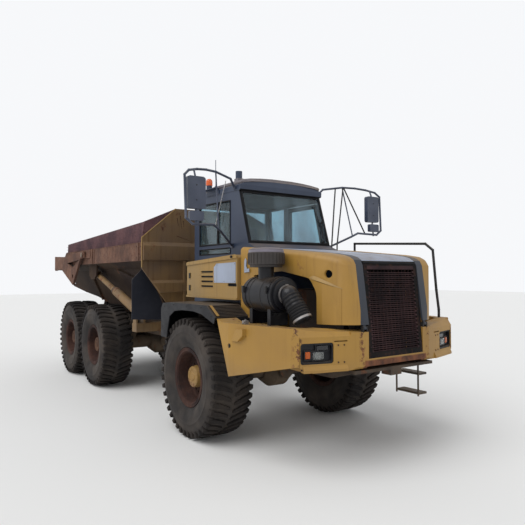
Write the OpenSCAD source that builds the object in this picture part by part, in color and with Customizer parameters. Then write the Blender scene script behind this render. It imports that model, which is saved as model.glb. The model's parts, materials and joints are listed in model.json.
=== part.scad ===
// Articulated dump truck of the 23 to 25 t payload class: a front tractor unit with engine, bonnet and cab,
// hinged at a vertical steering pivot and a lengthwise swivel to a rear unit that carries the tipping body.
// Inside the modules x is counted from the front axle, +X is forward, +Y is left and z = 0 is the ground.

/* [Overall] */
// Length over the nose and the end of the body chute
overall_l = 9930; // [9500:10:10500]
// Nose of the grille ahead of the front axle
nose_x = 2390; // [2300:10:2450]
// Front axle to the steering pivot
pivot_back = 1362; // [1350:1:1400]
// Front axle to the middle axle
mid_back = 4181; // [4150:1:4250]
// Gap between the tyres of the middle and the rear axle
tyre_gap = 54; // [44:1:84]

/* [Wheels] */
// Tyre diameter over the tread
tyre_d = 1616; // [1560:2:1640]
// Tyre width
tyre_w = 597; // [560:1:610]
// Height of the axles in the drawing; other tyres raise or lower the whole machine
axle_h = 808; // [780:1:820]
// Distance between the tyre centres of one axle
track = 2356; // [2340:2:2400]
// Depth of the tread between the lugs
tread_d = 34; // [26:1:40]
// Lugs around each shoulder of a tyre
lugs = 42; // [36:1:46]
// Radius of the rim where the tyre sits on it
rim_r = 352; // [340:1:370]
// Radius of the rim flange
flange_r = 398; // [390:1:410]
// Radius of the axle spindle that each wheel turns on
spindle_r = 90; // [70:1:110]
// Radial play of every shaft and pin that turns
play = 0.05; // [0.02:0.01:0.09]

/* [Frames] */
// Half distance between the outer faces of the rear frame rails
rear_rail_y = 480; // [460:5:500]
// Thickness of the rear frame rails
rear_rail_t = 80; // [60:5:100]
// Top of the rear frame rails
rear_rail_top = 1360; // [1330:5:1380]
// Half distance between the outer faces of the front frame rails
front_rail_y = 370; // [350:5:390]
// Thickness of the front frame rails
front_rail_t = 70; // [50:5:90]
// Top of the front frame rails
front_rail_top = 1250; // [1230:5:1260]
// Height of the swivel shaft
swivel_z = 1000; // [980:5:1020]
// Radius of the swivel shaft
swivel_r = 190; // [170:5:200]
// Radius of the steering pivot pin
pivot_r = 60; // [50:1:70]
// Radius of the axle casings
casing_r = 130; // [120:5:140]

/* [Body] */
// Front face of the tipping body behind the front axle
body_front = 1775; // [1765:5:1800]
// Depth of the ribs on the front wall
rib_depth = 55; // [30:5:60]
// Tipping hinge behind the front axle
hinge_back = 6350; // [6300:10:6450]
// Height of the tipping hinge
hinge_z = 1500; // [1480:5:1520]
// Half width of the body over its top rail
body_y = 1367; // [1360:1:1380]
// Thickness of the body plates
body_t = 30; // [20:1:35]
// Underside of the body floor at the front
floor_z = 1450; // [1440:5:1480]
// Underside of the top rail
rail_low = 2430; // [2400:5:2460]
// Top of the top rail
rail_top = 2730; // [2700:5:2760]
// Top of the sideboards at the front
board_front_z = 3080; // [3000:10:3120]
// Top of the sideboards at the rear
board_rear_z = 2930; // [2880:10:2980]
// Top of the front wall
head_z = 3330; // [3300:10:3380]

/* [Cylinders] */
// Sideways place of the tipping cylinders
tip_y = 1160; // [1150:5:1170]
// Radius of the tipping cylinder barrels
tip_barrel_r = 84; // [80:1:98]
// Radius of the tipping cylinder middle stages
tip_stage_r = 69; // [62:1:76]
// Radius of the tipping cylinder rods
tip_rod_r = 54; // [45:1:58]
// Radius of the steering cylinder barrels
steer_barrel_r = 55; // [45:1:58]
// Radius of the steering cylinder rods
steer_rod_r = 30; // [25:1:34]

/* [Cab] */
// Half width of the cab
cab_y = 740; // [730:5:750]
// Back of the cab behind the front axle
cab_back = 1130; // [1100:5:1140]
// Thickness of the cab walls
cab_t = 40; // [30:1:50]
// Top of the cab walls
cab_top = 3380; // [3350:5:3400]
// Lower edge of the windows
window_low = 2630; // [2600:5:2660]
// Height of the roof's edge over the cab walls
eaves_h = 75; // [60:5:90]
// Thickness of the roof
roof_t = 50; // [30:5:60]
// Thickness of the window glass
glass_t = 8; // [5:1:12]

/* [Nose] */
// Half width of the bonnet at the cab
bonnet_y = 1000; // [980:5:1010]
// Thickness of the bonnet shell
bonnet_t = 25; // [15:1:30]
// Lower edge of the bonnet
bonnet_low = 1640; // [1630:5:1660]
// Top of the bonnet at the cab
bonnet_top_z = 2550; // [2520:5:2570]
// Sideways place of the air cleaner on the right
air_y = -1150; // [-1160:5:-1140]
// Height of the air cleaner's axis
air_z = 1960; // [1950:5:1970]
// Radius of the air cleaner's canister
air_r = 205; // [190:5:210]
// Radius of the elbow behind the air cleaner
elbow_r = 102; // [80:2:110]
// Pre-cleaner ahead of the front axle
pre_x = 1450; // [1420:5:1480]
// Half width between the outer edges of the bonnet's stripes
stripe_y = 556; // [540:2:600]
// Radius of the bonnet's shoulders at the bend of the flanks
nose_r = 90; // [70:5:100]
// Half width of the grille
grille_y = 440; // [430:5:450]
// Lower edge of the grille
grille_low = 1272; // [1260:2:1300]
// Height of the grille along its rake
grille_h = 1035; // [1000:5:1050]
// Lean of the grille and the bonnet's nose, in degrees
grille_rake = 5; // [3:0.5:6]
// Top of the bumper
bumper_top = 1620; // [1600:5:1630]
// Depth of the headlamp recess
lamp_depth = 70; // [50:5:80]
// Sideways place of the walkway handrail on the left
rail_y = 1210; // [1180:5:1240]
// Gap between panels that move apart
gap = 10; // [6:1:14]

/* [Hidden] */
$fn = 48;
eps = 0.3;
origin_x = overall_l / 2 - nose_x;
wheel_y = track / 2;
tandem = tyre_d + tyre_gap;
axle_x = [0, -mid_back, -mid_back - tandem];
beam_x = -mid_back - tandem / 2;
// Inner end of the wheel hub inside the tyre's centre, and the casing's end beside it
hub_in = 288;
casing_y = wheel_y - hub_in - gap;
grille_top = grille_low + grille_h * cos(grille_rake);
bonnet_pin = [2366, 1604];
// Top of the axle saddles, and the trunnion that the walking beams swing on
saddle_z = axle_h + 152;
trunnion_z = saddle_z + 115;
pivot_x = -pivot_back;
tow_x = 2310;
tip_base = [-2420, 1527];
tip_eye = [-4750, 2213];
tip_l = norm(tip_eye - tip_base);
gate_pin = [-4950, 2630];
steer_base = [-350, 560];
steer_eye = [-1660, 420];
steer_l = norm(steer_eye - steer_base);
steer_z = 1060;
chute_x = nose_x - overall_l;

// Height of the stub's seat on the roof, and the foot of the beacon
stub_z = cab_top + 190;
beacon_at = [-560, -cab_y - 48, 3540];

ochre = [0.78, 0.58, 0.22];
slate = [0.20, 0.26, 0.32];
rust = [0.42, 0.27, 0.22];
black = [0.09, 0.09, 0.10];
dark = [0.22, 0.18, 0.15];

// Moves a piece from the front axle's origin to the middle of the overall length
module place() translate([origin_x, 0, tyre_d / 2 - axle_h]) children();

// The piece and its mirror image on the other side
module both() {
    children();
    mirror([0, 1, 0]) children();
}

// The piece on the left for side = 1, or on the right for side = -1
module on_side(side) {
    if (side > 0) children();
    else mirror([0, 1, 0]) children();
}

// Plate with an outline in x and z, from y0 to y1
module side_plate(outline, y0, y1)
    translate([0, y1, 0]) rotate([90, 0, 0]) linear_extrude(y1 - y0) polygon(outline);

// Plate with an outline in y and z, from x0 to x1
module cross_plate(outline, x0, x1)
    translate([x0, 0, 0]) rotate([90, 0, 90]) linear_extrude(x1 - x0) polygon(outline);

// Flat plate with an outline in x and y, from z0 to z1
module flat_plate(outline, z0, z1)
    translate([0, 0, z0]) linear_extrude(z1 - z0) polygon(outline);

// Box between two corners
module block(low, high) translate(low) cube(high - low);

// Round bars along each axis
module bar_x(y, z, r, x0, x1) translate([x0, y, z]) rotate([0, 90, 0]) cylinder(h = x1 - x0, r = r);
module bar_y(x, z, r, y0, y1) translate([x, y1, z]) rotate([90, 0, 0]) cylinder(h = y1 - y0, r = r);
module bar_z(x, y, r, z0, z1) translate([x, y, z0]) cylinder(h = z1 - z0, r = r);

// Round bar between two points
module rod(a, b, r) {
    d = b - a;
    translate(a) rotate([0, acos(d[2] / norm(d)), atan2(d[1], d[0])]) cylinder(h = norm(d), r = r);
}

// Bent round tube through a list of points
module bent_tube(path, r) {
    for (i = [0 : len(path) - 2]) rod(path[i], path[i + 1], r);
    for (i = [1 : len(path) - 2]) translate(path[i]) sphere(r = r + 2);
}

// Points of an arc about a centre
function arc(c, r, a0, a1, n) = [for (i = [0 : n]) let (a = a0 + (a1 - a0) * i / n) c + r * [cos(a),
    sin(a)]];

// Rectangle with rounded corners
function rounded(low, high, r) = concat(arc([high[0] - r, high[1] - r], r, 0, 90, 4),
    arc([low[0] + r, high[1] - r], r, 90, 180, 4), arc([low[0] + r, low[1] + r], r, 180, 270, 4),
    arc([high[0] - r, low[1] + r], r, 270, 360, 4));

// Half outline mirrored about the middle
function mirrored(half) = concat(half, [for (i = [len(half) - 1 : -1 : 0]) [-half[i][0], half[i][1]]]);

module rear_chassis() color(ochre) {
    rail_in = rear_rail_y - rear_rail_t;
    difference() {
        union() {
            both() side_plate([[-1960, 800], [-1960, 1230], [-2250, rear_rail_top], [-6260, rear_rail_top],
                [-6280, hinge_z + 85], [-6420, hinge_z + 85], [-6470, rear_rail_top], [-6560, 1150],
                [-6400, 1030], [-2900, 1030], [-2500, 800]], rail_in, rear_rail_y);
            // Sleeve that carries the swivel shaft, and the plates that join it to the rails
            bar_x(0, swivel_z, swivel_r + 65, -2380, -1960);
            block([-2060, -rail_in, 800], [-1980, rail_in, 1200]);
            block([-2360, -rail_in, 800], [-2280, rail_in, 1200]);
            bar_y(beam_x, 1190, 90, -rail_in, rail_in);
            bar_y(-6180, 1190, 80, -rail_in, rail_in);
            // Trunnion of the walking beams
            both() bar_y(beam_x, trunnion_z, 60, rear_rail_y - 10, 700);
            both() block([beam_x - 80, rear_rail_y - 10, trunnion_z - 65],
                [beam_x + 80, rear_rail_y + 40, 1200]);
        }
        bar_x(0, swivel_z, swivel_r + play, -2400, -1900);
        bar_y(-hinge_back, hinge_z, 45 + play, -600, 600);
    }
    // Tow pin hitch behind the rear frame
    difference() {
        union() {
            block([-6540, -rail_in, 1060], [-6440, rail_in, 1300]);
            for (z = [1080, 1210])
                flat_plate(concat([[-6530, -100]], arc([-6620, 0], 80, 270, 90, 8), [[-6530, 100]]),
                    z, z + 50);
        }
        bar_z(-6620, 0, 32, 1000, 1400);
    }
}

// Arms that stick out of the rear frame, with the ears of the tipping cylinders
module outriggers() color(ochre) both() difference() {
    union() {
        block([-2520, rear_rail_y, 1200], [-2320, tip_y + 90, 1350]);
        for (y = [tip_y - 85, tip_y + 55])
            side_plate(concat([[-2500, 1345]], arc(tip_base, 75, 170, 10, 8), [[-2340, 1345]]), y, y + 30);
    }
    bar_y(tip_base[0], tip_base[1], 35 + play, 900, 1400);
}

module axle_body(x) {
    bar_y(x, axle_h, casing_r, -casing_y, casing_y);
    bar_y(x, axle_h, spindle_r, -casing_y - 150, casing_y + 150);
    translate([x, 0, axle_h]) rotate([90, 0, 0]) rotate_extrude()
        polygon([[0, -260], [160, -260], [270, -110], [270, 110], [160, 260], [0, 260]]);
    bar_x(0, axle_h, 120, x + 200, x + 330);
}

module walking_beams() color(ochre) both() difference() {
    side_plate([[axle_x[1] + 121, saddle_z], [axle_x[1] + 121, saddle_z + 60],
        [beam_x + 316, saddle_z + 220],
        [beam_x - 316, saddle_z + 220], [axle_x[2] - 121, saddle_z + 60], [axle_x[2] - 121, saddle_z],
        [beam_x - 484, saddle_z], [beam_x, saddle_z + 30], [beam_x + 486, saddle_z]], 580, 680);
    bar_y(beam_x, trunnion_z, 60 + eps, 500, 750);
}

module mid_axle() color(dark) {
    axle_body(axle_x[1]);
    both() block([axle_x[1] - 110, 580, axle_h], [axle_x[1] + 110, 680, saddle_z]);
    bar_x(0, axle_h, 55, axle_x[2] + 330, axle_x[1]);
}

module rear_axle() color(dark) {
    axle_body(axle_x[2]);
    both() block([axle_x[2] - 110, 580, axle_h], [axle_x[2] + 110, 680, saddle_z]);
}

module knuckle() color(ochre) difference() {
    union() {
        bar_z(pivot_x, 0, 150, 780, 1220);
        block([-1830, -120, 820], [pivot_x, 120, 1180]);
        bar_x(0, swivel_z, swivel_r + 40, -1950, -1820);
        bar_x(0, swivel_z, swivel_r, -2400, -1900);
        // Arms that the steering cylinders push
        flat_plate([[-1450, 100], [-1590, 470], [-1730, 470], [-1760, 100], [-1760, -100], [-1730, -470],
            [-1590, -470], [-1450, -100]], 975, 1015);
    }
    bar_z(pivot_x, 0, pivot_r + play, 700, 1300);
}

module front_chassis() color(dark) {
    rail_in = front_rail_y - front_rail_t;
    both() side_plate([[-760, 945], [-760, front_rail_top], [2150, front_rail_top], [2150, 1080],
        [1700, 945]],
        rail_in, front_rail_y);
    block([-760, -rail_in, 945], [-620, rail_in, front_rail_top]);
    block([1950, -rail_in, 1100], [2150, rail_in, front_rail_top]);
    block([500, -rail_in, 1000], [620, rail_in, 1150]);
    // Yoke and pin of the steering pivot
    block([-1150, -180, 700], [-750, 180, 1300]);
    for (z = [700, 1225])
        flat_plate(concat([[-1140, -170]], arc([pivot_x, 0], 150, 270, 90, 12), [[-1140, 170]]), z, z + 75);
    bar_z(pivot_x, 0, pivot_r, 720, 1290);
    // Belly plate under the nose, with the block of the front tow pin
    block([1800, -640, 1115], [2370, 640, 1150]);
    difference() {
        block([2230, -90, 1050], [2370, 90, 1120]);
        bar_z(tow_x, 0, 26, 1000, 1200);
    }
    // Brackets of the steering cylinders
    both() difference() {
        for (z = [970, 1125]) flat_plate([[-430, 360], [-430, 610], [-270, 610], [-270, 360]], z, z + 30);
        bar_z(steer_base[0], steer_base[1], 25 + play, 900, 1200);
    }
    // Cab and platform carriers
    both() {
        block([-1110, 150, 1300], [-1060, 700, 1400]);
        block([-1110, 500, 1400], [-1060, 700, 1700]);
        block([300, front_rail_y, 1100], [420, 700, front_rail_top]);
        block([300, 500, front_rail_top], [420, 700, 1700]);
    }
}

module front_axle() color(dark) {
    axle_body(0);
    both() block([-120, front_rail_y - front_rail_t, axle_h], [120, front_rail_y, 945]);
}

module engine_block() color(dark) {
    block([850, -360, front_rail_top], [1900, 360, 2000]);
    block([2050, -430, front_rail_top], [2150, 430, 2250]);
}

// Outline of the bonnet seen from above, from the cab to the nose
function bonnet_plan(inset) = [[665, bonnet_y - inset], [1900, 860 - inset], [nose_x - 260, 803 - inset],
    [nose_x - 175 - inset * 0.3, 753 - inset], [nose_x - 122 - inset * 0.6, 711 - inset * 0.8],
    [nose_x - 90 - inset * 0.8, 680 - inset * 0.7], [nose_x - 50 - inset * 0.9, 625 - inset * 0.5],
    [nose_x - 14 - inset, 540 - inset * 0.2], [nose_x - inset, 440]];

// Height of the bonnet's top over the outline's first points, and the shoulder's radius between them
bonnet_crest = [bonnet_top_z, grille_top + 131, grille_top + 99, grille_top + 75, grille_top + 43];
shoulder_r = [0.65, 0.9, 1.1, 1.1] * nose_r;

function unit(v) = v / norm(v);

// Everything inside the flat facets that round a corner between two faces, moved inwards by an inset
module round_between(corner, face_1, face_2, r, inset) intersection_for (k = [1 : 4]) {
    normal = unit((5 - k) * face_1 + k * face_2);
    translate(corner - r * (face_1 + face_2) / (1 + face_1 * face_2))
        rotate([0, acos(normal[2]), atan2(normal[1], normal[0])])
            translate([-3000, -3000, -3000]) cube([6000, 6000, 3000 + r - inset]);
}

module shoulders(inset) intersection_for (i = [0 : 3]) {
    run = bonnet_plan(0)[i + 1] - bonnet_plan(0)[i];
    round_between([bonnet_plan(0)[i][0], bonnet_plan(0)[i][1], bonnet_crest[i]], unit([-run[1], run[0], 0]),
        unit([bonnet_crest[i] - bonnet_crest[i + 1], 0, run[0]]), shoulder_r[i], inset);
}

// Closed form of the bonnet, moved inwards by an inset
module bonnet_form(inset) intersection() {
    // Seen from above: nearly straight flanks that run into a rounded nose
    linear_extrude(3000) polygon(concat(bonnet_plan(inset),
        [for (i = [8 : -1 : 0]) [bonnet_plan(inset)[i][0], -bonnet_plan(inset)[i][1]]]));
    // Seen from the side: sloping top and raked front
    side_plate([[660, 1000], [660, bonnet_crest[0] - inset], [1900, bonnet_crest[1] - inset],
        [nose_x - 260 - inset * 0.5, bonnet_crest[2] - inset],
            [nose_x - 175 - inset * 0.7, bonnet_crest[3] - inset],
        [nose_x - 122 - inset * 0.9, bonnet_crest[4] - inset],
            [nose_x - 90 - inset, grille_top - 12 - inset],
        [nose_x - inset, bonnet_low], [nose_x - inset, 1000]], -1100, 1100);
    shoulders(inset);
    mirror([0, 1, 0]) shoulders(inset);
}

module bonnet_shell() difference() {
    union() {
        difference() {
            bonnet_form(0);
            bonnet_form(bonnet_t);
        }
        // Bulge of the flanks that ends in a falling crease
        both() intersection() {
            flat_plate([[1880, 845], [1890, 868], [1965, 882], [2075, 850], [2190, 785], [2255, 728],
                [2200, 735]],
                bonnet_low, 2200);
            side_plate([[1850, bonnet_low], [1850, 2146], [1950, 2128], [2270, 2028],
                [2270, bonnet_low]], 600, 1000);
        }
    }
    block([600, -1100, 900], [2500, 1100, bonnet_low]);
    // Mouth for the grille
    block([2100, -grille_y - gap, 1000], [2500, grille_y + gap, grille_top + 32]);
    // Bay of the air cleaner and a round hole on the right
    side_plate(concat([[930, 1600], [930, 2180], [1420, 2230]], arc([1780, 1930], 230, 80, 0, 6),
        [[2010, 1600]]),
        -1100, -760);
    bar_y(2125, 2191, 45, -900, -600);
}

module bonnet_sides() color(ochre) intersection() {
    bonnet_shell();
    both() block([600, stripe_y, 1500], [2500, 1100, 2800]);
}

module bonnet_stripes() color(slate) {
    intersection() {
        bonnet_shell();
        both() block([600, grille_y, 1500], [2500, stripe_y, 2800]);
    }
    // Knuckles that turn on the hinge pins
    both() difference() {
        union() {
            bar_y(bonnet_pin[0], bonnet_pin[1], 20, 482, 518);
            block([bonnet_pin[0] - 12, 482, bonnet_pin[1]], [bonnet_pin[0] + 6, 518, bonnet_low + 15]);
        }
        bar_y(bonnet_pin[0], bonnet_pin[1], 12 + play, 450, 550);
    }
}

// Top of the bumper in front of the bonnet
function bumper_nose(x) = bumper_top - 30 - (x - 2190) * 30 / 210;

// Pins at the bonnet's lower front corners, held by ears on the bumper
module bonnet_hinges() color(black) both() {
    bar_y(bonnet_pin[0], bonnet_pin[1], 12, 470, 530);
    for (y = [464, 524]) side_plate([[bonnet_pin[0] - 18, bumper_nose(bonnet_pin[0] - 18) + eps],
        [bonnet_pin[0] - 18, bonnet_pin[1] + 18], [bonnet_pin[0] + 18, bonnet_pin[1] + 18],
        [bonnet_pin[0] + 18, bumper_nose(bonnet_pin[0] + 18) + eps]], y, y + 12);
}

module bonnet_top() color([0.80, 0.80, 0.78]) intersection() {
    bonnet_shell();
    block([600, -grille_y, 1500], [2500, grille_y, 2800]);
}

// Raked guard: an upright frame and its bars, leaning back about the nose
module grille() color(rust) translate([nose_x, 0, grille_low]) rotate([0, -grille_rake, 0]) {
    rows = 20;
    pitch = (grille_h - 120) / rows;
    difference() {
        block([-60, -grille_y, 0], [0, grille_y, grille_h]);
        block([-70, -grille_y + 50, 60], [10, grille_y - 50, grille_h - 60]);
    }
    for (i = [1 : rows - 1]) block([-40, -grille_y + 45, 52 + i * pitch],
        [-24, grille_y - 45, 68 + i * pitch]);
    for (i = [-4 : 4]) block([-50, i * 84 - 8, 50], [-38, i * 84 + 8, grille_h - 50]);
}

// Lower edge of the bumper's flank at a distance ahead of the front axle
function bumper_under(x) = 1000 + (x - 1130) * 0.219;

// Corner of the bumper and the inner end of its swept face, seen from above
corner = [2190, 1262];
face_end = [2385, 560];

// Along the bumper's swept face: x from the corner inwards, y straight out of the face
module at_face() translate([corner[0], corner[1], 0])
    rotate([0, 0, atan2(face_end[1] - corner[1], face_end[0] - corner[0])]) children();

// Rounded opening of the headlamps on the face
function lamp_outline(inset) = rounded([16 + inset, 1252 + inset], [396 - inset, 1470 - inset], 28);

module bumper() color(ochre) both() {
    difference() {
        union() {
            intersection() {
                flat_plate([[850, 1190], [850, 1470], [1130, 1470],
                    [2100, 1300], corner, face_end, [2385, 450],
                    [2250, 450], [2100, 1100], [1950, 1190]], 900, 1700);
                side_plate([[860, bumper_top + 35], [1130, bumper_under(1130)], [2185, bumper_under(2185)],
                    [2232, 1156], [2350, 1166], [2372, 1196], [2400, 1196], [2400, bumper_top - 60],
                    [2190, bumper_top - 30], [2120, bumper_top], [980, bumper_top]], 0, 1600);
            }
            // Lip under the headlamps
            at_face() cross_plate([[-60, 1166], [22, 1166], [22, 1192], [-2, 1236], [-60, 1236]], 45, 560);
            // Boss on the flank
            side_plate([[1195, 1420], [1290, 1560], [1435, 1572], [1435, 1500], [1330, 1425]], 1380, 1472);
        }
        // Sloping ledge over the face, the joint at the corner and the slit beside the lamps
        at_face() cross_plate([[-80, bumper_top + 5], [6, bumper_top + 5], [6, bumper_top - 95]], -40, 600);
        at_face() block([4, -7, 1100], [10, 30, 1700]);
        at_face() block([402, -30, 1474], [560, 10, 1488]);
        at_face() side_plate(lamp_outline(0), -lamp_depth, 60);
        bar_y(1143, 1360, 15, 1450, 1500);
    }
    side_plate([[2150, grille_low - 60 * sin(grille_rake) - eps], [2150, 1190], [nose_x - 1, 1190],
        [nose_x - 1, grille_low - eps], [nose_x - 60 * cos(grille_rake),
            grille_low - 60 * sin(grille_rake) - eps]],
        0, 500);
    block([1900, 370, 1160], [2150, 1150, 1230]);
}

// Lenses on the headlamp plate: start and end along the face, lower and upper edge
lens_rows = [[78, 142, 1302, 1384], [164, 300, 1290, 1378], [206, 352, 1386, 1446]];

module headlamps() color(black) both() at_face() difference() {
    side_plate(lamp_outline(eps), -lamp_depth + eps, -12);
    difference() {
        side_plate(lamp_outline(18), -lamp_depth + 18, 0);
        for (l = lens_rows) side_plate(rounded([l[0] - 10, l[2] - 10], [l[1] + 10, l[3] + 10], 14),
            -lamp_depth, -30);
    }
    for (l = lens_rows) side_plate(rounded([l[0], l[2]], [l[1], l[3]], 10), -46, -20);
}

module lamp_lenses() color([0.85, 0.86, 0.84, 0.8]) both() at_face()
    for (l = lens_rows) side_plate(rounded([l[0] + eps, l[2] + eps], [l[1] - eps, l[3] - eps], 9.7),
        -45.7, -24);

// Cab outline seen from the side, moved inwards by an inset
function cab_outline(inset) = [[-cab_back + inset, 1700 + inset], [-cab_back + inset, cab_top - inset],
    [210 - inset, cab_top - inset], [450 - inset, 2620], [600 - inset, 2560], [600 - inset, 1700 + inset]];

// Side window of two sliding panes on the right, with a low strip window under it
side_window = [[-960, window_low], [-960, cab_top - 95], [-15, cab_top - 115], [-15, window_low]];
strip_window = [[-960, window_low - 140], [-960, window_low - 45], [-15, window_low - 45],
    [-15, window_low - 140]];
pane_split = -394;
rear_side_window = [[-1060, window_low], [-1060, cab_top - 90], [-660, cab_top - 90], [-660, window_low]];
door_window = [[-480, 2250], [-480, cab_top - 160], [115, cab_top - 160], [270, 2640], [270, 2250]];
door_axis = -580;
hinge_rows = [1900, 2500, cab_top - 230];
door_hole = [[-560, 1800], [-560, cab_top - 80], [170, cab_top - 80], [350, 2640], [350, 1800]];

// Crowned line across the roof, from its edge to the middle, at a height over the eaves
function roof_line(out, lift) = [[cab_y + out, cab_top + eaves_h + lift],
    [cab_y - 50, cab_top + eaves_h + 28 + lift],
    [560, cab_top + eaves_h + 50 + lift], [380, cab_top + eaves_h + 66 + lift],
    [180, cab_top + eaves_h + 76 + lift]];

module cab_shell() color(slate) {
    cab_walls();
    // Header with its visor
    intersection() {
        cross_plate(mirrored(concat([[cab_y + 5, cab_top - 1]], roof_line(5, -eps))), -cab_back, 300);
        side_plate([[-cab_back, cab_top - 1], [-cab_back, 3700], [230, 3700], [256, cab_top + eaves_h],
            [250, cab_top + 12], [232, cab_top - 1]], -900, 900);
    }
    // Fixed halves of the door hinges
    for (z = hinge_rows) {
        block([-650, cab_y - 5, z + 80.5], [door_axis, cab_y + 25, z + 140]);
        bar_z(door_axis, cab_y + 25, 16, z + 80.5, z + 140);
    }
}

module cab_walls() difference() {
    side_plate(cab_outline(0), -cab_y, cab_y);
    side_plate(cab_outline(cab_t), -cab_y + cab_t, cab_y - cab_t);
    // Right windows
    side_plate(side_window, -cab_y - 1, -cab_y + cab_t + 1);
    side_plate(strip_window, -cab_y - 1, -cab_y + cab_t + 1);
    // Door opening and the window behind it on the left
    side_plate(door_hole, cab_y - cab_t - 1, cab_y + 1);
    side_plate(rear_side_window, cab_y - cab_t - 1, cab_y + 1);
    // Windscreen and rear window
    block([100, -cab_y + 25, 2640], [700, cab_y - 25, cab_top - 12]);
    block([-cab_back - 10, -cab_y + 80, 2500], [-cab_back + cab_t + 10, cab_y - 80, cab_top - 100]);
}

module cab_glass() color([0.35, 0.60, 0.62, 0.5]) {
    // Sliding panes, one behind the other, and the strip under them
    intersection() {
        side_plate(side_window, -cab_y + 10, -cab_y + 10 + glass_t);
        block([-1000, -800, 2500], [pane_split + 15, 800, cab_top]);
    }
    intersection() {
        side_plate(side_window, -cab_y + 30 - glass_t, -cab_y + 30);
        block([pane_split - 15, -800, 2500], [100, 800, cab_top]);
    }
    side_plate(strip_window, -cab_y + 10, -cab_y + 10 + glass_t);
    side_plate(rear_side_window, cab_y - 10 - glass_t, cab_y - 10);
    // Raked windscreen and upright rear window
    side_plate([[445 - glass_t, 2640], [445, 2640], [215, cab_top - 12], [215 - glass_t, cab_top - 12]],
        -cab_y + 25, cab_y - 25);
    block([-cab_back + 10, -cab_y + 80, 2500], [-cab_back + 10 + glass_t, cab_y - 80, cab_top - 100]);
}

module cab_roof() color(ochre) {
    intersection() {
        cross_plate(mirrored(concat([for (i = [4 : -1 : 1]) roof_line(0, 0)[i]],
            [[cab_y - 42, cab_top + eaves_h + 26 + roof_t / 2]],
            [for (i = [1 : 4]) roof_line(0, roof_t)[i]])), -1200, 300);
        side_plate([[-cab_back - 5, cab_top], [-cab_back + 5, cab_top + eaves_h + 90],
            [-cab_back + 60, 3900],
            [170, 3900], [238, cab_top + eaves_h + 90], [262, cab_top + eaves_h + 60],
                [262, cab_top]], -900, 900);
    }
    // Seat of the stub at the front right corner
    block([0, -690, cab_top + eaves_h + 60], [100, -590, stub_z]);
}

// Stub on the roof, and the bracket with the beacon's base and the aerial at its right edge
module roof_gear() color(black) {
    bar_z(50, -640, 48, stub_z + eps, stub_z + 105);
    block([-700, -cab_y - 95, 3470], [-330, -cab_y - 5 - eps, 3482]);
    block([-700, -cab_y - 17, cab_top + 15], [-330, -cab_y - 5 - eps, 3475]);
    bar_z(beacon_at[0], beacon_at[1], 44, 3480, beacon_at[2]);
    bar_z(-375, -cab_y - 40, 14, 3480, 3510);
    bar_z(-375, -cab_y - 40, 5, 3500, 3900);
}

module cab_interior() color(black) {
    block([-cab_back + cab_t, -cab_y + cab_t, 1740], [600 - cab_t, cab_y - cab_t, 1800]);
    // Seat
    block([-650, -230, 1800], [-250, 230, 2150]);
    block([-720, -260, 2150], [-150, 260, 2280]);
    side_plate([[-860, 2950], [-760, 2950], [-620, 2280], [-760, 2280]], -240, 240);
    // Dashboard and steering wheel
    side_plate([[330, 1800], [560, 1800], [560, 2500], [430, 2560], [330, 2480]], -600, 600);
    rod([330, 0, 2300], [180, 0, 2440], 25);
    translate([180, 0, 2440]) rotate([0, -47, 0]) difference() {
        cylinder(h = 30, r = 220);
        translate([0, 0, -1]) cylinder(h = 32, r = 190);
    }
    translate([180, 0, 2440]) rotate([0, -47, 0]) block([-20, -200, 0], [20, 200, 20]);
}

module cab_door() color(slate) {
    difference() {
        side_plate([[-550, 1810], [-550, cab_top - 90], [162, cab_top - 90], [340, 2634], [340, 1810]],
            cab_y - cab_t, cab_y);
        side_plate(door_window, cab_y - cab_t - 1, cab_y + 1);
    }
    for (z = hinge_rows) {
        block([door_axis, cab_y, z], [-500, cab_y + 12, z + 80]);
        bar_z(door_axis, cab_y + 25, 16, z, z + 80);
    }
    block([200, cab_y, 2150], [320, cab_y + 35, 2190]);
}

module door_glass() color([0.35, 0.60, 0.62, 0.5])
    side_plate(door_window, cab_y - 10 - glass_t, cab_y - 10);

module air_cleaner() color(black) {
    // Canister with chamfered ends and clamp bands
    bar_x(air_y, air_z, air_r - 6, 1235, 1800);
    bar_x(air_y, air_z, air_r - 40, 1215, 1830);
    for (x = [1250, 1700]) bar_x(air_y, air_z, air_r, x, x + 60);
    bar_z(pre_x, air_y, 92, air_z, 2272);
    // Saddles on the bumper
    for (x = [1280, 1640]) block([x, air_y - 120, bumper_top + eps], [x + 60, air_y + 120, air_z - 100]);
    // Elbow and pipe down to the engine bay
    bent_tube([[1700, air_y, air_z + 5], [1880, air_y, air_z + 5], [1975, -1122, 1830],
        [2055, -1095, 1690]], elbow_r);
}

module pre_cleaner() color(slate) {
    bar_z(pre_x, air_y, 190, 2272 + eps, 2302);
    bar_z(pre_x, air_y, 210, 2300, 2440);
    bar_z(pre_x, air_y, 200, 2438, 2478);
    bar_z(pre_x, air_y, 165, 2476, 2496);
}

module side_box() color(ochre) {
    difference() {
        side_plate([[-780, 1860], [-780, 2345], [-740, 2380], [610, 2450], [655, 2410],
            [655, 1860]], -1050, -cab_y);
        side_plate([[-750, 1890], [-750, 2340], [625, 2405], [625, 1890]], -1020, -cab_y - 30);
        // Louvres
        for (z = [2015 : 68 : 2220]) side_plate(rounded([-330, z], [20, z + 26], 12), -1100, -1000);
        // Slot of the air vent
        side_plate(rounded([420, 2035], [640, 2075], 12), -1100, -1000);
    }
    // Rolled lips along the top and the foot
    side_plate([[-780, 2330], [-780, 2372], [-740, 2384], [608, 2454], [655, 2436],
        [655, 2404]], -1064, -1045);
    side_plate([[-780, 1860], [-780, 1888], [655, 1888], [655, 1860]], -1064, -1045);
}

module left_tank() color(ochre) block([-1040, front_rail_y + 50, front_rail_top],
    [-450, 780, 1690]);

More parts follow.
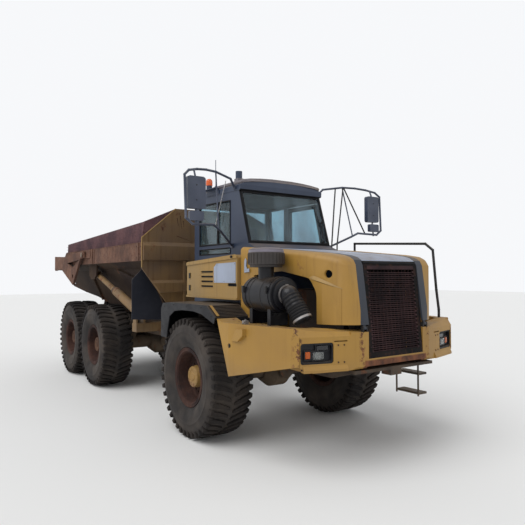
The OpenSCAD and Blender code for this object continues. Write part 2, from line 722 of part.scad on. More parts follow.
module mudguards() color(black) both() {
    skirt_y = wheel_y + tyre_w / 2 + 7;
    // Sheet over the tyre with its rear wall
    side_plate([[-720, 1300], [-720, 1700], [-665, 1785], [-430, 1807], [640, 1807], [640, 1767],
        [-420, 1767],
        [-635, 1750], [-684, 1690], [-684, 1300]], wheel_y - 278, skirt_y + 15);
    side_plate([[640, 1807], [862, 1668], [845, 1632], [640, 1767]], bonnet_y + 15, skirt_y + 15);
    // Skirt beside the tyre
    side_plate([[-720, 1300], [-720, 1700], [-665, 1785], [-430, 1807], [640, 1807], [862, 1668],
        [830, 1590],
        [514, 1690], [300, 1715], [-51, 1714], [-280, 1690], [-433, 1610], [-505, 1407], [-530, 1300]],
        skirt_y, skirt_y + 15);
    // Inner wall and its bracket on the chassis
    block([-430, 820, 1500], [600, 850, 1807]);
    block([-430, 850, 1767], [600, wheel_y - 278, 1807]);
    block([-40, front_rail_y, 1150], [40, 820, 1250]);
    block([-40, 760, 1250], [40, 820, 1600]);
}

module steps() color(black) {
    for (z = [520, 790]) block([1250, 1290, z], [1650, 1450, z + 30]);
    for (x = [1250, 1630]) side_plate([[x, 500], [x, bumper_under(x) - eps],
        [x + 20, bumper_under(x + 20) - eps], [x + 20, 500]], 1270, 1290);
}

module handrails() color(black) {
    bent_tube([[500, rail_y, 1807], [500, rail_y, 2670], [1840, rail_y, 2600], [1960, rail_y, 2510],
        [2010, rail_y, 1980], [2045, rail_y, 1720], [2045, rail_y, bumper_top + eps]], 17);
}

module door_mirror(side) color(black) on_side(side) {
    // The lower end of the loop meets the cab ahead of the door on the left, and behind the pillar on the right
    foot = side > 0 ? 400 : 40;
    bent_tube([[120, cab_y + 26, 3430], [165, 850, 3530], [285, 1155, 3575], [370, 1350, 3568],
        [440, 1520, 3545],
        [500, 1665, 3508], [532, 1740, 3440], [560, 1735, 2895], [558, 1640, 2822], [480, 1300, 2838],
        [445, 1190, 2780], [foot, cab_y + 15, 2605]], 16);
    block([90, cab_y + 5 + eps, 3400], [150, cab_y + 32, 3450]);
    block([foot - 30, cab_y, 2575], [foot + 30, cab_y + 25, 2635]);
    // Brace between the two arms
    rod([285, 1155, 3570], [452, 1210, 2795], 10);
    // Large and small mirror on one stem
    rod([468, 1580, 3535], [515, 1580, 3420], 12);
    block([480, 1450, 3020], [550, 1702, 3432]);
    rod([520, 1580, 3040], [545, 1580, 2800], 12);
    block([512, 1487, 2868], [568, 1684, 2988]);
}

module mirror_right() door_mirror(-1);
module mirror_left() door_mirror(1);

module beacon() color([0.95, 0.45, 0.08]) translate([beacon_at[0], beacon_at[1], beacon_at[2] + eps])
    rotate_extrude() polygon([[0, 0], [50, 0], [50, 62], [45, 82], [33, 97], [17, 105], [0, 107]]);

// Half of the body's cross-section, moved inwards by an inset
function bed_section(inset) = mirrored([[700 - inset, floor_z - 50], [700 - inset, floor_z],
    [760 - inset, 1600],
    [1080 - inset, 2300], [body_y - 77 - inset, rail_low], [body_y - 47 - inset, rail_low + 40],
    [body_y - 47 - inset, 3000]]);

// Floor line seen from the side, raised by the plate thickness for the inside
function floor_line(lift) = [[-4600, floor_z + lift], [-5850, 1700 + lift], [-6670, 1790 + lift],
    [chute_x, 1925 + lift]];

// Outline of the front wall
wall_outline = mirrored([[700, floor_z], [906, 1720], [1351, 2308], [1351, 2818], [742, head_z]]);

// On the body's sloping flank: x along the body, z up the flank, y straight out of it
flank_lean = atan2(320, 700);
module on_flank() translate([0, 760, 1600]) rotate([-flank_lean, 0, 0]) children();

module bed_shell() color(ochre) {
    front = -body_front - rib_depth;
    difference() {
        intersection() {
            cross_plate(bed_section(0), chute_x - 10, front);
            side_plate(concat([[front, rail_top], [front, floor_z]], floor_line(0), [[chute_x, 1990],
                [-7250, 1990],
                [-7250, 2450], [-6600, rail_top]]), -body_y, body_y);
        }
        intersection() {
            cross_plate(bed_section(body_t * 1.2), chute_x - 50, front - body_t);
            side_plate(concat([[front - body_t, 4000],
                [front - body_t, floor_z + body_t]], floor_line(body_t),
                [[chute_x - 50, 1930 + body_t], [chute_x - 50, 4000]]), -body_y, body_y);
        }
    }
    // Front wall with its cross beams and uprights
    cross_plate(wall_outline, front - body_t, front);
    intersection() {
        cross_plate(wall_outline, front, -body_front);
        union() {
            side_plate([[front, rail_top + 15], [-body_front, rail_top - 50], [-body_front, rail_low + 15],
                [front, rail_low]], -1340, 1340);
            side_plate([[front, 2108], [-body_front, 2060], [-body_front, 1912],
                [front, 1892]], -1340, 1340);
        }
    }
    both() block([front, 575, floor_z], [-body_front, 610, rail_low + 5]);
    // Top rails, posts and the ears of the tipping cylinders
    both() side_plate([[front, rail_low], [front, rail_top], [-6600, rail_top], [-6800, rail_low + 150],
        [-6600, rail_low]], body_y - 47, body_y - 20);
    both() for (x = [-1950, -4500]) block([x - 120, body_y - 20, rail_low], [x, body_y, rail_top]);
    both() side_plate([[-4480, rail_low], [-4530, 2200], [-4640, 2110], [-4860, 2110], [-5000, 2200],
        [-4950, rail_low]], 1240, 1270);
    // Uprights and the slanting rib of the flanks
    both() on_flank() {
        for (x = [-2060, -5450]) block([x - 60, -8, 60], [x, 45, 770]);
        side_plate([[-2760, 470], [-2700, 540], [-3640, 790], [-3700, 720]], -8, 40);
    }
    // Pads and pins of the tailgate arms
    both() side_plate([[-4590, 2560], [-4590, rail_top], [-5250, rail_top], [-5250, 2560]],
        body_y - 20, body_y + 13);
    both() bar_y(gate_pin[0], gate_pin[1], 40, body_y - 27, body_y + 88);
    // Lengthwise floor beams, hinge lugs and hinge pin
    both() block([-6200, 300, 1375], [-1900, 380, floor_z]);
    both() side_plate(concat([[-6150, 1380]], arc([-hinge_back, hinge_z], 85, 300, 170, 8), [[-6500, 1770],
        [-6100, 1726], [-5900, 1704], [-5500, 1600]]), 300, 380);
    bar_y(-hinge_back, hinge_z, 45, -500, 500);
}

module bed_boards() color(rust) {
    front = -body_front - rib_depth;
    both() side_plate([[front - body_t, rail_top], [front - body_t, board_front_z], [-6570, board_rear_z],
        [-6600, rail_top]], body_y - 77, body_y - 57);
    both() cross_plate([[1351, 2818], [742, head_z], [1310, board_front_z]], front - body_t, front);
}

// Rubber flaps that hang from the body sides behind its front wall
module mud_flaps() color(black) both()
    cross_plate([[1182, 2314], [1378, 2118], [1380, 1436], [850, 1410], [762, 1600],
        [1082, 2300]], -2215, -2200);

module tailgate() color(rust) {
    both() difference() {
        side_plate([[-4860, 2700], [-4860, 2580], [-5100, 2550], [-5680, 1980], [-6690, 2350],
            [chute_x + 275, 2310], [chute_x + 275, 2660], [-6420, 2630],
                [-5250, 2700]], body_y + 28, body_y + 73);
        side_plate([[-5170, 2530], [-5730, 2360], [-6150, 2480]], body_y, body_y + 80);
        bar_y(-5690, 2170, 50, body_y, body_y + 80);
        bar_y(gate_pin[0], gate_pin[1], 40 + play, body_y, body_y + 80);
    }
    cross_plate(mirrored([[940, 2000], [1100, 2315], [body_y + 73, 2330], [body_y + 73, 2660]]),
        chute_x + 240, chute_x + 275);
}

// Tipping cylinder parts along local x from the lower pin
module along_tip(side) on_side(side) translate([tip_base[0], tip_y, tip_base[1]])
    rotate([0, -atan2(tip_eye[1] - tip_base[1], tip_eye[0] - tip_base[0]), 0]) children();

module tip_barrel(side) color(ochre) along_tip(side) {
    bar_y(0, 0, 35, -88, 88);
    bar_y(0, 0, 70, -48, 48);
    block([0, -48, -50], [100, 48, 50]);
    difference() {
        bar_x(0, 0, tip_barrel_r, 90, 1250);
        bar_x(0, 0, tip_stage_r + play, 115, 1260);
    }
}

module tip_stage(side) color(black) along_tip(side) difference() {
    union() {
        bar_x(0, 0, tip_stage_r, 120, 1256);
        bar_x(0, 0, tip_barrel_r - 6, 1256, 1300);
    }
    bar_x(0, 0, tip_rod_r + play, 160, 1310);
}

module tip_rod(side) color(ochre) along_tip(side) {
    bar_x(0, 0, tip_rod_r, 170, tip_l - 30);
    bar_y(tip_l, 0, 70, -40, 40);
}

module tip_barrel_right() tip_barrel(-1);
module tip_barrel_left() tip_barrel(1);
module tip_stage_right() tip_stage(-1);
module tip_stage_left() tip_stage(1);
module tip_rod_right() tip_rod(-1);
module tip_rod_left() tip_rod(1);

// Steering cylinder parts along local x from the front pin
module along_steer(side) on_side(side) translate([steer_base[0], steer_base[1], steer_z])
    rotate([0, 0, atan2(steer_eye[1] - steer_base[1], steer_eye[0] - steer_base[0])]) children();

module steer_barrel(side) color(ochre) along_steer(side) {
    bar_z(0, 0, 25, -92, 97);
    bar_z(0, 0, 50, -50, 55);
    block([0, -28, -40], [75, 28, 40]);
    difference() {
        bar_x(0, 0, steer_barrel_r, 65, 850);
        bar_x(0, 0, steer_rod_r + play, 90, 860);
    }
}

module steer_rod(side) color([0.7, 0.7, 0.72]) along_steer(side) {
    bar_x(0, 0, steer_rod_r, 470, steer_l - 20);
    bar_z(steer_l, 0, 45, -35, 35);
}

module steer_barrel_right() steer_barrel(-1);
module steer_barrel_left() steer_barrel(1);
module steer_rod_right() steer_rod(-1);
module steer_rod_left() steer_rod(1);

// Wheel parts about local z, which points outwards
module at_wheel(axle, side) translate([axle_x[axle], side * wheel_y, axle_h]) on_side(side)
    rotate([-90, 0, 0]) children();

// Half outline of a lug around the tyre, then along the axle; its corners reach the tyre's full radius
lug_reach = 72;
lug_outline = [[-lug_reach, 274], [4, 274], [24, 160], [lug_reach, 28], [26, 28], [-42, 160]];

module tyre(axle, side) color([0.20, 0.19, 0.19]) at_wheel(axle, side) {
    floor_r = tyre_d / 2 - tread_d;
    root_r = floor_r - 60;
    lug_r = sqrt(pow(tyre_d / 2, 2) - pow(lug_reach, 2));
    half = [[rim_r, 230], [400, 232], [470, 275], [560, tyre_w / 2], [650, tyre_w / 2 - 2],
        [floor_r - 44, tyre_w / 2 - 22], [floor_r - 12, tyre_w / 2 - 42], [floor_r, tyre_w / 2 - 70]];
    rotate_extrude() polygon(concat(half, [for (i = [len(half) - 1 : -1 : 0]) [half[i][0], -half[i][1]]]));
    for (way = [1, -1], i = [0 : lugs - 1]) rotate([0, 0, (i + way / 4) * 360 / lugs])
        cross_plate([for (p = lug_outline) [p[0], way * (p[1] + (tyre_w - 597) / 2)]], root_r, lug_r);
}

module rim(axle, side) color(rust) at_wheel(axle, side) rotate_extrude() polygon([[spindle_r + play,
    -hub_in],
    [150, -hub_in], [150, 20], [330, 20], [330, -250], [flange_r, -250], [flange_r, -235],
        [rim_r, -235], [rim_r, 235],
    [flange_r, 235], [flange_r, 250], [330, 250], [330, 50], [152, 50], [142, 182], [0, 182], [0, -138],
    [spindle_r + play, -138]]);

module tyre_front_right() tyre(0, -1);
module tyre_front_left() tyre(0, 1);
module tyre_mid_right() tyre(1, -1);
module tyre_mid_left() tyre(1, 1);
module tyre_rear_right() tyre(2, -1);
module tyre_rear_left() tyre(2, 1);
module rim_front_right() rim(0, -1);
module rim_front_left() rim(0, 1);
module rim_mid_right() rim(1, -1);
module rim_mid_left() rim(1, 1);
module rim_rear_right() rim(2, -1);
module rim_rear_left() rim(2, 1);

place() rear_chassis();
place() outriggers();
place() walking_beams();
place() mid_axle();
place() rear_axle();
place() knuckle();
place() front_chassis();
place() front_axle();
place() engine_block();
place() bumper();
place() headlamps();
place() lamp_lenses();
place() grille();
place() bonnet_sides();
place() bonnet_stripes();
place() bonnet_top();
place() bonnet_hinges();
place() cab_shell();
place() cab_roof();
place() roof_gear();
place() cab_glass();
place() cab_interior();
place() cab_door();
place() door_glass();
place() air_cleaner();
place() pre_cleaner();
place() side_box();
place() left_tank();
place() mudguards();
place() steps();
place() handrails();
place() mirror_right();
place() mirror_left();
place() beacon();
place() bed_shell();
place() bed_boards();
place() mud_flaps();
place() tailgate();
place() tip_barrel_right();
place() tip_barrel_left();
place() tip_stage_right();
place() tip_stage_left();
place() tip_rod_right();
place() tip_rod_left();
place() steer_barrel_right();
place() steer_barrel_left();
place() steer_rod_right();
place() steer_rod_left();
place() tyre_front_right();
place() tyre_front_left();
place() tyre_mid_right();
place() tyre_mid_left();
place() tyre_rear_right();
place() tyre_rear_left();
place() rim_front_right();
place() rim_front_left();
place() rim_mid_right();
place() rim_mid_left();
place() rim_rear_right();
place() rim_rear_left();
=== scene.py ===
import json
import math

import bmesh
import bpy
from mathutils import Matrix, Vector


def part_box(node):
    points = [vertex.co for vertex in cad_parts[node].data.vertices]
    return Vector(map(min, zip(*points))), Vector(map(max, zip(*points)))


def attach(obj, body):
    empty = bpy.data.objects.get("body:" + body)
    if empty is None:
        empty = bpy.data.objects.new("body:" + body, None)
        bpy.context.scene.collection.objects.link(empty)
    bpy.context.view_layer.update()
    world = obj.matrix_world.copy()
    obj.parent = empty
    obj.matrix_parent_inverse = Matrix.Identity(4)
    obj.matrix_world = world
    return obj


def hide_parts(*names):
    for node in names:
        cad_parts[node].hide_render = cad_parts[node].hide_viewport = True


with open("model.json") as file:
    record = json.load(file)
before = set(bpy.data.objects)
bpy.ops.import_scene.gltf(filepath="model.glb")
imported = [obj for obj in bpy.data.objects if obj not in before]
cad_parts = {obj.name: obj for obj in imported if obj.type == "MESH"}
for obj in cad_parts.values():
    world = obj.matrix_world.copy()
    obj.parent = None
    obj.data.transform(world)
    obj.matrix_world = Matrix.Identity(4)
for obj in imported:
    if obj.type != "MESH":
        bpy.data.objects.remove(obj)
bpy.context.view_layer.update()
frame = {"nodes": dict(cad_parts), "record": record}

frontAxle = sum(corner.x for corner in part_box("tyre_front_right")) / 2   # places below are counted from here
print("frame loaded, front axle at x =", round(frontAxle, 3))


def at(x, y, z):
    return Vector((x + frontAxle, y, z))


def placed(name, data):
    piece = bpy.data.objects.new(name, data)
    bpy.context.scene.collection.objects.link(piece)
    return piece


cameraView = {
    "place": (9.007, -4.653, 2.174),
    "heading": 145.288,   # degrees from +X towards +Y
    "pitch": 1.442,
    "roll": -0.181,
    "lens": 36.064,
}


def addCamera(place, heading, pitch, roll, lens):
    heading, pitch, roll = (math.radians(angle) for angle in (heading, pitch, roll))
    forward = Vector((math.cos(pitch) * math.cos(heading), math.cos(pitch) * math.sin(heading), math.sin(pitch)))
    right = forward.cross(Vector((0, 0, 1))).normalized()
    up = right.cross(forward)
    right, up = right * math.cos(roll) + up * math.sin(roll), up * math.cos(roll) - right * math.sin(roll)
    cameraData = bpy.data.cameras.new("siteCamera")
    cameraData.lens = lens
    cameraData.sensor_width = 36
    cameraData.clip_end = 200
    camera = placed("siteCamera", cameraData)
    camera.matrix_world = Matrix.Translation(place) @ Matrix((right, up, -forward)).transposed().to_4x4()
    bpy.context.scene.camera = camera


addCamera(**cameraView)
print("camera placed")

studio = {
    "floorColour": (0.80, 0.80, 0.79, 1),
    "skyColour": (0.93, 0.94, 0.96, 1),
    "skyLight": 0.60,
    "sunPlace": (1.5, -9, 12),
    "sunStrength": 1.7,
    "sunWidth": 50,       # degrees, for a soft shadow
    "fillPlace": (11, 6, 6),
    "fillStrength": 0.2,
    "floorHalf": 60,
}


def addStudio(floorColour, skyColour, skyLight, sunPlace, sunStrength, sunWidth, fillPlace, fillStrength, floorHalf):
    bpy.context.scene.view_settings.view_transform = "Standard"
    world = bpy.data.worlds.new("overcast")
    world.use_nodes = True
    links, nodes = world.node_tree.links, world.node_tree.nodes
    background = nodes["Background"]
    background.inputs["Color"].default_value = skyColour
    path = nodes.new("ShaderNodeLightPath").outputs
    seen = path["Is Camera Ray"]
    for kind in ("Is Glossy Ray", "Is Transmission Ray"):
        either = nodes.new("ShaderNodeMath")
        either.operation = "MAXIMUM"
        links.new(seen, either.inputs[0])
        links.new(path[kind], either.inputs[1])
        seen = either.outputs[0]
    strength = nodes.new("ShaderNodeMapRange")
    strength.inputs["To Min"].default_value = skyLight
    strength.inputs["To Max"].default_value = 1
    links.new(seen, strength.inputs["Value"])
    links.new(strength.outputs[0], background.inputs["Strength"])
    bpy.context.scene.world = world

    for name, place, power in (("softSun", sunPlace, sunStrength), ("fillLight", fillPlace, fillStrength)):
        lamp = bpy.data.lights.new(name, "SUN")
        lamp.energy = power
        lamp.angle = math.radians(sunWidth)
        holder = placed(name, lamp)
        holder.rotation_euler = Vector(place).to_track_quat("Z", "Y").to_euler()

    ground = bmesh.new()
    bmesh.ops.create_grid(ground, x_segments=1, y_segments=1, size=floorHalf)
    mesh = bpy.data.meshes.new("paleFloor")
    ground.to_mesh(mesh)
    ground.free()
    floor = placed("paleFloor", mesh)
    paleFloor = bpy.data.materials.new("paleFloor")
    paleFloor.use_nodes = True
    shader = paleFloor.node_tree.nodes["Principled BSDF"]
    shader.inputs["Base Color"].default_value = floorColour
    shader.inputs["Roughness"].default_value = 0.9
    floor.data.materials.append(paleFloor)


addStudio(**studio)
print("studio lit")


def startFinish(name):
    made = bpy.data.materials.new(name)
    made.use_nodes = True
    tree = made.node_tree
    return made, tree, tree.nodes["Principled BSDF"]


def feed(tree, socket, value):
    if isinstance(value, bpy.types.NodeSocket):
        tree.links.new(value, socket)
    else:
        socket.default_value = (*value, 1) if isinstance(value, tuple) else value   # a colour gets its alpha here


def objectPlace(tree, stretch=(1, 1, 1)):
    coordinate = tree.nodes.new("ShaderNodeTexCoord")
    mapping = tree.nodes.new("ShaderNodeMapping")
    mapping.inputs["Scale"].default_value = stretch
    tree.links.new(coordinate.outputs["Object"], mapping.inputs["Vector"])
    return mapping.outputs[0]


def cloud(tree, scale, detail=4, stretch=(1, 1, 1), roughness=0.55):
    noise = tree.nodes.new("ShaderNodeTexNoise")
    tree.links.new(objectPlace(tree, stretch), noise.inputs["Vector"])
    noise.inputs["Scale"].default_value = scale
    noise.inputs["Detail"].default_value = detail
    noise.inputs["Roughness"].default_value = roughness
    return noise.outputs["Fac"]


def between(tree, source, low, high, toLow=0.0, toHigh=1.0):
    ranged = tree.nodes.new("ShaderNodeMapRange")
    tree.links.new(source, ranged.inputs["Value"])
    for key, value in (("From Min", low), ("From Max", high), ("To Min", toLow), ("To Max", toHigh)):
        ranged.inputs[key].default_value = value
    return ranged.outputs[0]


def calc(tree, operation, first, second=0.0):
    step = tree.nodes.new("ShaderNodeMath")
    step.operation = operation
    feed(tree, step.inputs[0], first)
    feed(tree, step.inputs[1], second)
    return step.outputs[0]


def times(tree, first, second):
    return calc(tree, "MULTIPLY", first, second)


def blended(tree, share, first, second, way="MIX"):
    mix = tree.nodes.new("ShaderNodeMix")
    mix.data_type = "RGBA"
    mix.blend_type = way
    feed(tree, mix.inputs["Factor"], share)
    feed(tree, mix.inputs["A"], first)
    feed(tree, mix.inputs["B"], second)
    return mix.outputs["Result"]


def placeParts(tree, kind="Object"):
    coordinate = tree.nodes.new("ShaderNodeTexCoord")
    parts = tree.nodes.new("ShaderNodeSeparateXYZ")
    tree.links.new(coordinate.outputs[kind], parts.inputs[0])
    return parts.outputs


def facingUp(tree):
    return between(tree, placeParts(tree, "Normal")["Z"], 0.5, 0.95)


def dustOn(tree, colour, thinnest, thickest, scale, detail, low):
    settled = times(tree, facingUp(tree),
                    between(tree, cloud(tree, scale, detail), low, 0.7, thinnest, thickest))
    return settled, blended(tree, settled, colour, rustTones["dust"])


def bumps(tree, shader, source, depth):
    bump = tree.nodes.new("ShaderNodeBump")
    bump.inputs["Distance"].default_value = depth
    bump.inputs["Strength"].default_value = 0.8
    tree.links.new(source, bump.inputs["Height"])
    tree.links.new(bump.outputs[0], shader.inputs["Normal"])


agedPaint = {   # muddy: height where low dirt begins, shine: how much the surface mirrors
    "ochre": dict(fresh=(0.385, 0.210, 0.033), faded=(0.30, 0.165, 0.034), rust=0.63, streaks=0.4, gloss=0.5),
    "bumperOchre": dict(fresh=(0.375, 0.207, 0.033), faded=(0.30, 0.163, 0.032), rust=0.655, streaks=0.2, gloss=0.5,
                    muddy=1.30, chips=[("Y", 1.262, 0.04), ("Y", 0.545, 0.05)], rustyUnder=(0.50, 1.262)),
    "boxOchre": dict(fresh=(0.36, 0.215, 0.056), faded=(0.28, 0.182, 0.072), rust=0.655, streaks=0.5, gloss=0.6),
    "hubOchre": dict(fresh=(0.30, 0.165, 0.032), faded=(0.22, 0.125, 0.034), rust=0.53, streaks=0.3, gloss=0.5,
                 muddy=0.80),
    "dullOchre": dict(fresh=(0.25, 0.140, 0.040), faded=(0.13, 0.080, 0.038), rust=0.57, streaks=0.6, gloss=0.6),
    "bedOchre": dict(fresh=(0.215, 0.125, 0.046), faded=(0.120, 0.078, 0.050), rust=0.585, streaks=0.7, gloss=0.6,
                 shine=0.3),
    # the bed's flank under the rail: dirty dark paint, made darker still as painted shade under the rail
    "bedFlank": dict(fresh=(0.060, 0.038, 0.024), faded=(0.030, 0.020, 0.018), rust=0.60, streaks=0.7, gloss=0.8,
                 muddy=1.45, shine=0.12),
    "slate": dict(fresh=(0.021, 0.033, 0.064), faded=(0.040, 0.055, 0.094), rust=0.80, streaks=0.2, gloss=0.42,
              shine=0.4),
    "stripeGrey": dict(fresh=(0.020, 0.026, 0.040), faded=(0.036, 0.040, 0.050), rust=0.76, streaks=0.2, gloss=0.5,
                   shine=0.35),
    "roofDust": dict(fresh=(0.150, 0.145, 0.175), faded=(0.165, 0.125, 0.095), rust=0.72, streaks=0.4, gloss=0.6),
    "dirtyWhite": dict(fresh=(0.37, 0.42, 0.53), faded=(0.26, 0.29, 0.36), rust=0.76, streaks=0.5, gloss=0.45),
    "blackSteel": dict(fresh=(0.008, 0.008, 0.010), faded=(0.024, 0.023, 0.023), rust=0.68, streaks=0.4, gloss=0.55,
                   shine=0.3),
    "dustySteel": dict(fresh=(0.026, 0.021, 0.019), faded=(0.054, 0.040, 0.032), rust=0.57, streaks=0.5, gloss=0.75,
                   shine=0.2),
}
rustTones = {"deep": (0.055, 0.022, 0.014), "warm": (0.20, 0.075, 0.032), "dust": (0.21, 0.155, 0.105)}


def chippedPlaces(tree, chips, rustyUnder):
    # flakes along the edges of a panel, which lie at the same distance on both sides of the machine
    parts = placeParts(tree)
    flakes = between(tree, cloud(tree, 16, 7, roughness=0.7), 0.52, 0.57)
    chipped = None
    for axis, edge, reach in chips:
        away = calc(tree, "ABSOLUTE", calc(tree, "SUBTRACT", calc(tree, "ABSOLUTE", parts[axis]), edge))
        near = times(tree, between(tree, away, reach, reach * 0.3), flakes)
        chipped = near if chipped is None else calc(tree, "MAXIMUM", chipped, near)
    wide, top = rustyUnder
    under = times(tree, between(tree, calc(tree, "ABSOLUTE", parts["Y"]), wide + 0.02, wide),
                  between(tree, parts["Z"], top, top - 0.015))
    return calc(tree, "MAXIMUM", chipped, under)


def weathered(name, fresh, faded, rust, streaks, gloss, muddy=1.6, shine=0.5, chips=(), rustyUnder=None):
    made, tree, shader = startFinish(name)
    broad = between(tree, cloud(tree, 0.9, 5), 0.35, 0.65)
    colour = blended(tree, broad, fresh, faded)
    streak = between(tree, cloud(tree, 1.0, 6, (15, 15, 0.8), 0.7), 0.52, 0.72, 0, streaks)
    colour = blended(tree, streak, colour, (0.42, 0.34, 0.27), "MULTIPLY")
    settled, colour = dustOn(tree, colour, 0.0, 0.55, 2.5, 5, 0.35)
    low = times(tree, between(tree, placeParts(tree)["Z"], muddy, 0.6),
                between(tree, cloud(tree, 3.0, 6), 0.3, 0.7, 0.1, 0.8))
    colour = blended(tree, low, colour, rustTones["dust"])
    flakes = calc(tree, "ADD", times(tree, cloud(tree, 1.6, 8, roughness=0.65), 0.7),
                  times(tree, cloud(tree, 14, 6, (1, 1, 0.6)), 0.3))
    corroded = between(tree, flakes, rust - 0.02, rust + 0.05)
    if chips:
        corroded = calc(tree, "MAXIMUM", corroded, chippedPlaces(tree, chips, rustyUnder))
    rustColour = blended(tree, between(tree, cloud(tree, 9, 6), 0.35, 0.65), rustTones["deep"], rustTones["warm"])
    colour = blended(tree, corroded, colour, rustColour)
    tree.links.new(colour, shader.inputs["Base Color"])
    worn = calc(tree, "MAXIMUM", corroded, calc(tree, "MAXIMUM", low, settled))
    tree.links.new(between(tree, worn, 0, 1, gloss, 0.92), shader.inputs["Roughness"])
    grain = times(tree, cloud(tree, 60, 4), 0.4)
    bumps(tree, shader, calc(tree, "ADD", times(tree, corroded, 0.6), grain), 0.003)
    shader.inputs["Specular IOR Level"].default_value = shine
    return made


rustyMetal = {
    "rustyPlate": dict(light=(0.125, 0.063, 0.068), dark=(0.062, 0.034, 0.042), streak=(0.17, 0.095, 0.088)),
    "rustyRail": dict(light=(0.175, 0.090, 0.060), dark=(0.085, 0.048, 0.038), streak=(0.36, 0.26, 0.20)),
    "rustyBrown": dict(light=(0.11, 0.058, 0.036), dark=(0.042, 0.025, 0.020), streak=(0.14, 0.09, 0.06)),
    "grilleBlack": dict(light=(0.012, 0.008, 0.008), dark=(0.003, 0.003, 0.003), streak=(0.018, 0.012, 0.010)),
    "grilleBrown": dict(light=(0.062, 0.032, 0.034), dark=(0.022, 0.013, 0.015), streak=(0.075, 0.045, 0.040)),
    "rimRust": dict(light=(0.070, 0.034, 0.026), dark=(0.022, 0.014, 0.014), streak=(0.11, 0.065, 0.045)),
}


def rusted(name, light, dark, streak):
    made, tree, shader = startFinish(name)
    colour = blended(tree, between(tree, cloud(tree, 2.2, 8, roughness=0.62), 0.38, 0.62), dark, light)
    runs = times(tree, between(tree, cloud(tree, 1.0, 7, (20, 20, 6.0), 0.8), 0.50, 0.74, 0, 0.6),
                 between(tree, cloud(tree, 1.1, 5), 0.38, 0.58))
    colour = blended(tree, runs, colour, streak)
    colour = blended(tree, between(tree, cloud(tree, 22, 5), 0.52, 0.68, 0, 0.5), colour, rustTones["deep"])
    tree.links.new(colour, shader.inputs["Base Color"])
    shader.inputs["Roughness"].default_value = 0.88
    shader.inputs["Specular IOR Level"].default_value = 0.2
    bumps(tree, shader, cloud(tree, 38, 6), 0.004)
    return made


def plastic(name, dark, pale, roughness, depth=0.002, scale=70, dusty=0.7, shine=0.5):
    made, tree, shader = startFinish(name)
    shader.inputs["Specular IOR Level"].default_value = shine
    colour = blended(tree, between(tree, cloud(tree, 2.4, 6), 0.4, 0.7), dark, pale)
    if dusty:
        colour = dustOn(tree, colour, 0.1, dusty, 3, 6, 0.3)[1]
    tree.links.new(colour, shader.inputs["Base Color"])
    patchy = between(tree, cloud(tree, 5, 4), 0.3, 0.7, roughness - 0.1, roughness + 0.15)
    tree.links.new(patchy, shader.inputs["Roughness"])
    bumps(tree, shader, cloud(tree, scale, 4), depth)
    return made


def tinted(name, tint, roughness, clear, bend=1.45):
    made, tree, shader = startFinish(name)
    shader.inputs["IOR"].default_value = bend
    grime = between(tree, cloud(tree, 1.6, 6, (1, 1, 0.5)), 0.50, 0.85, 0, 1)
    colour = blended(tree, grime, tint, (0.24, 0.30, 0.36))
    tree.links.new(colour, shader.inputs["Base Color"])
    tree.links.new(between(tree, grime, 0, 1, clear, clear * 0.6), shader.inputs["Transmission Weight"])
    tree.links.new(between(tree, grime, 0, 1, roughness, roughness + 0.2), shader.inputs["Roughness"])
    return made


def plainMetal(name, colour, roughness):
    made, tree, shader = startFinish(name)
    shaded = blended(tree, between(tree, cloud(tree, 4, 6), 0.35, 0.7, 0, 0.6), colour, rustTones["dust"])
    tree.links.new(shaded, shader.inputs["Base Color"])
    shader.inputs["Metallic"].default_value = 0.9
    patchy = between(tree, cloud(tree, 12, 5), 0.3, 0.7, roughness, roughness + 0.2)
    tree.links.new(patchy, shader.inputs["Roughness"])
    return made


finishes = {name: weathered(name, **values) for name, values in agedPaint.items()}
finishes.update({name: rusted(name, **values) for name, values in rustyMetal.items()})
finishes.update({name: plastic(name, **values) for name, values in {
    "blackPlastic": dict(dark=(0.006, 0.006, 0.008), pale=(0.016, 0.016, 0.019), roughness=0.5, dusty=0.45,
                         shine=0.3),
    "softBlack": dict(dark=(0.005, 0.005, 0.006), pale=(0.012, 0.012, 0.014), roughness=0.75, dusty=0.35, shine=0.25),
    "glossBlack": dict(dark=(0.004, 0.004, 0.006), pale=(0.010, 0.010, 0.013), roughness=0.34, depth=0.0005, scale=30,
                       dusty=0.25, shine=0.3),
    "mirrorShell": dict(dark=(0.028, 0.038, 0.066), pale=(0.052, 0.064, 0.102), roughness=0.4),
    "capGrey": dict(dark=(0.145, 0.130, 0.160), pale=(0.22, 0.205, 0.24), roughness=0.6),
    "bowlBrown": dict(dark=(0.024, 0.019, 0.017), pale=(0.062, 0.045, 0.037), roughness=0.5),
    "flapRubber": dict(dark=(0.007, 0.009, 0.018), pale=(0.015, 0.017, 0.027), roughness=0.7),
    "tyreRubber": dict(dark=(0.026, 0.023, 0.022), pale=(0.070, 0.057, 0.048), roughness=0.85, depth=0.004, scale=45,
                       dusty=0, shine=0.3),
    "treadMud": dict(dark=(0.016, 0.014, 0.014), pale=(0.044, 0.036, 0.031), roughness=0.92, depth=0.006, scale=30,
                     dusty=0, shine=0.2),
    "seatCloth": dict(dark=(0.016, 0.020, 0.026), pale=(0.04, 0.045, 0.05), roughness=0.9, depth=0.003, scale=220),
}.items()})
finishes.update({name: tinted(name, **values) for name, values in {
    "tealGlass": dict(tint=(0.46, 0.62, 0.69), roughness=0.02, clear=0.97, bend=1.28),
    "lampGlass": dict(tint=(0.50, 0.52, 0.51), roughness=0.06, clear=0.85),
    "smokyLens": dict(tint=(0.06, 0.06, 0.065), roughness=0.10, clear=0.6),
    "amberLens": dict(tint=(0.62, 0.12, 0.01), roughness=0.15, clear=0.35),
    "beaconRed": dict(tint=(0.85, 0.15, 0.02), roughness=0.12, clear=0.3),
}.items()})
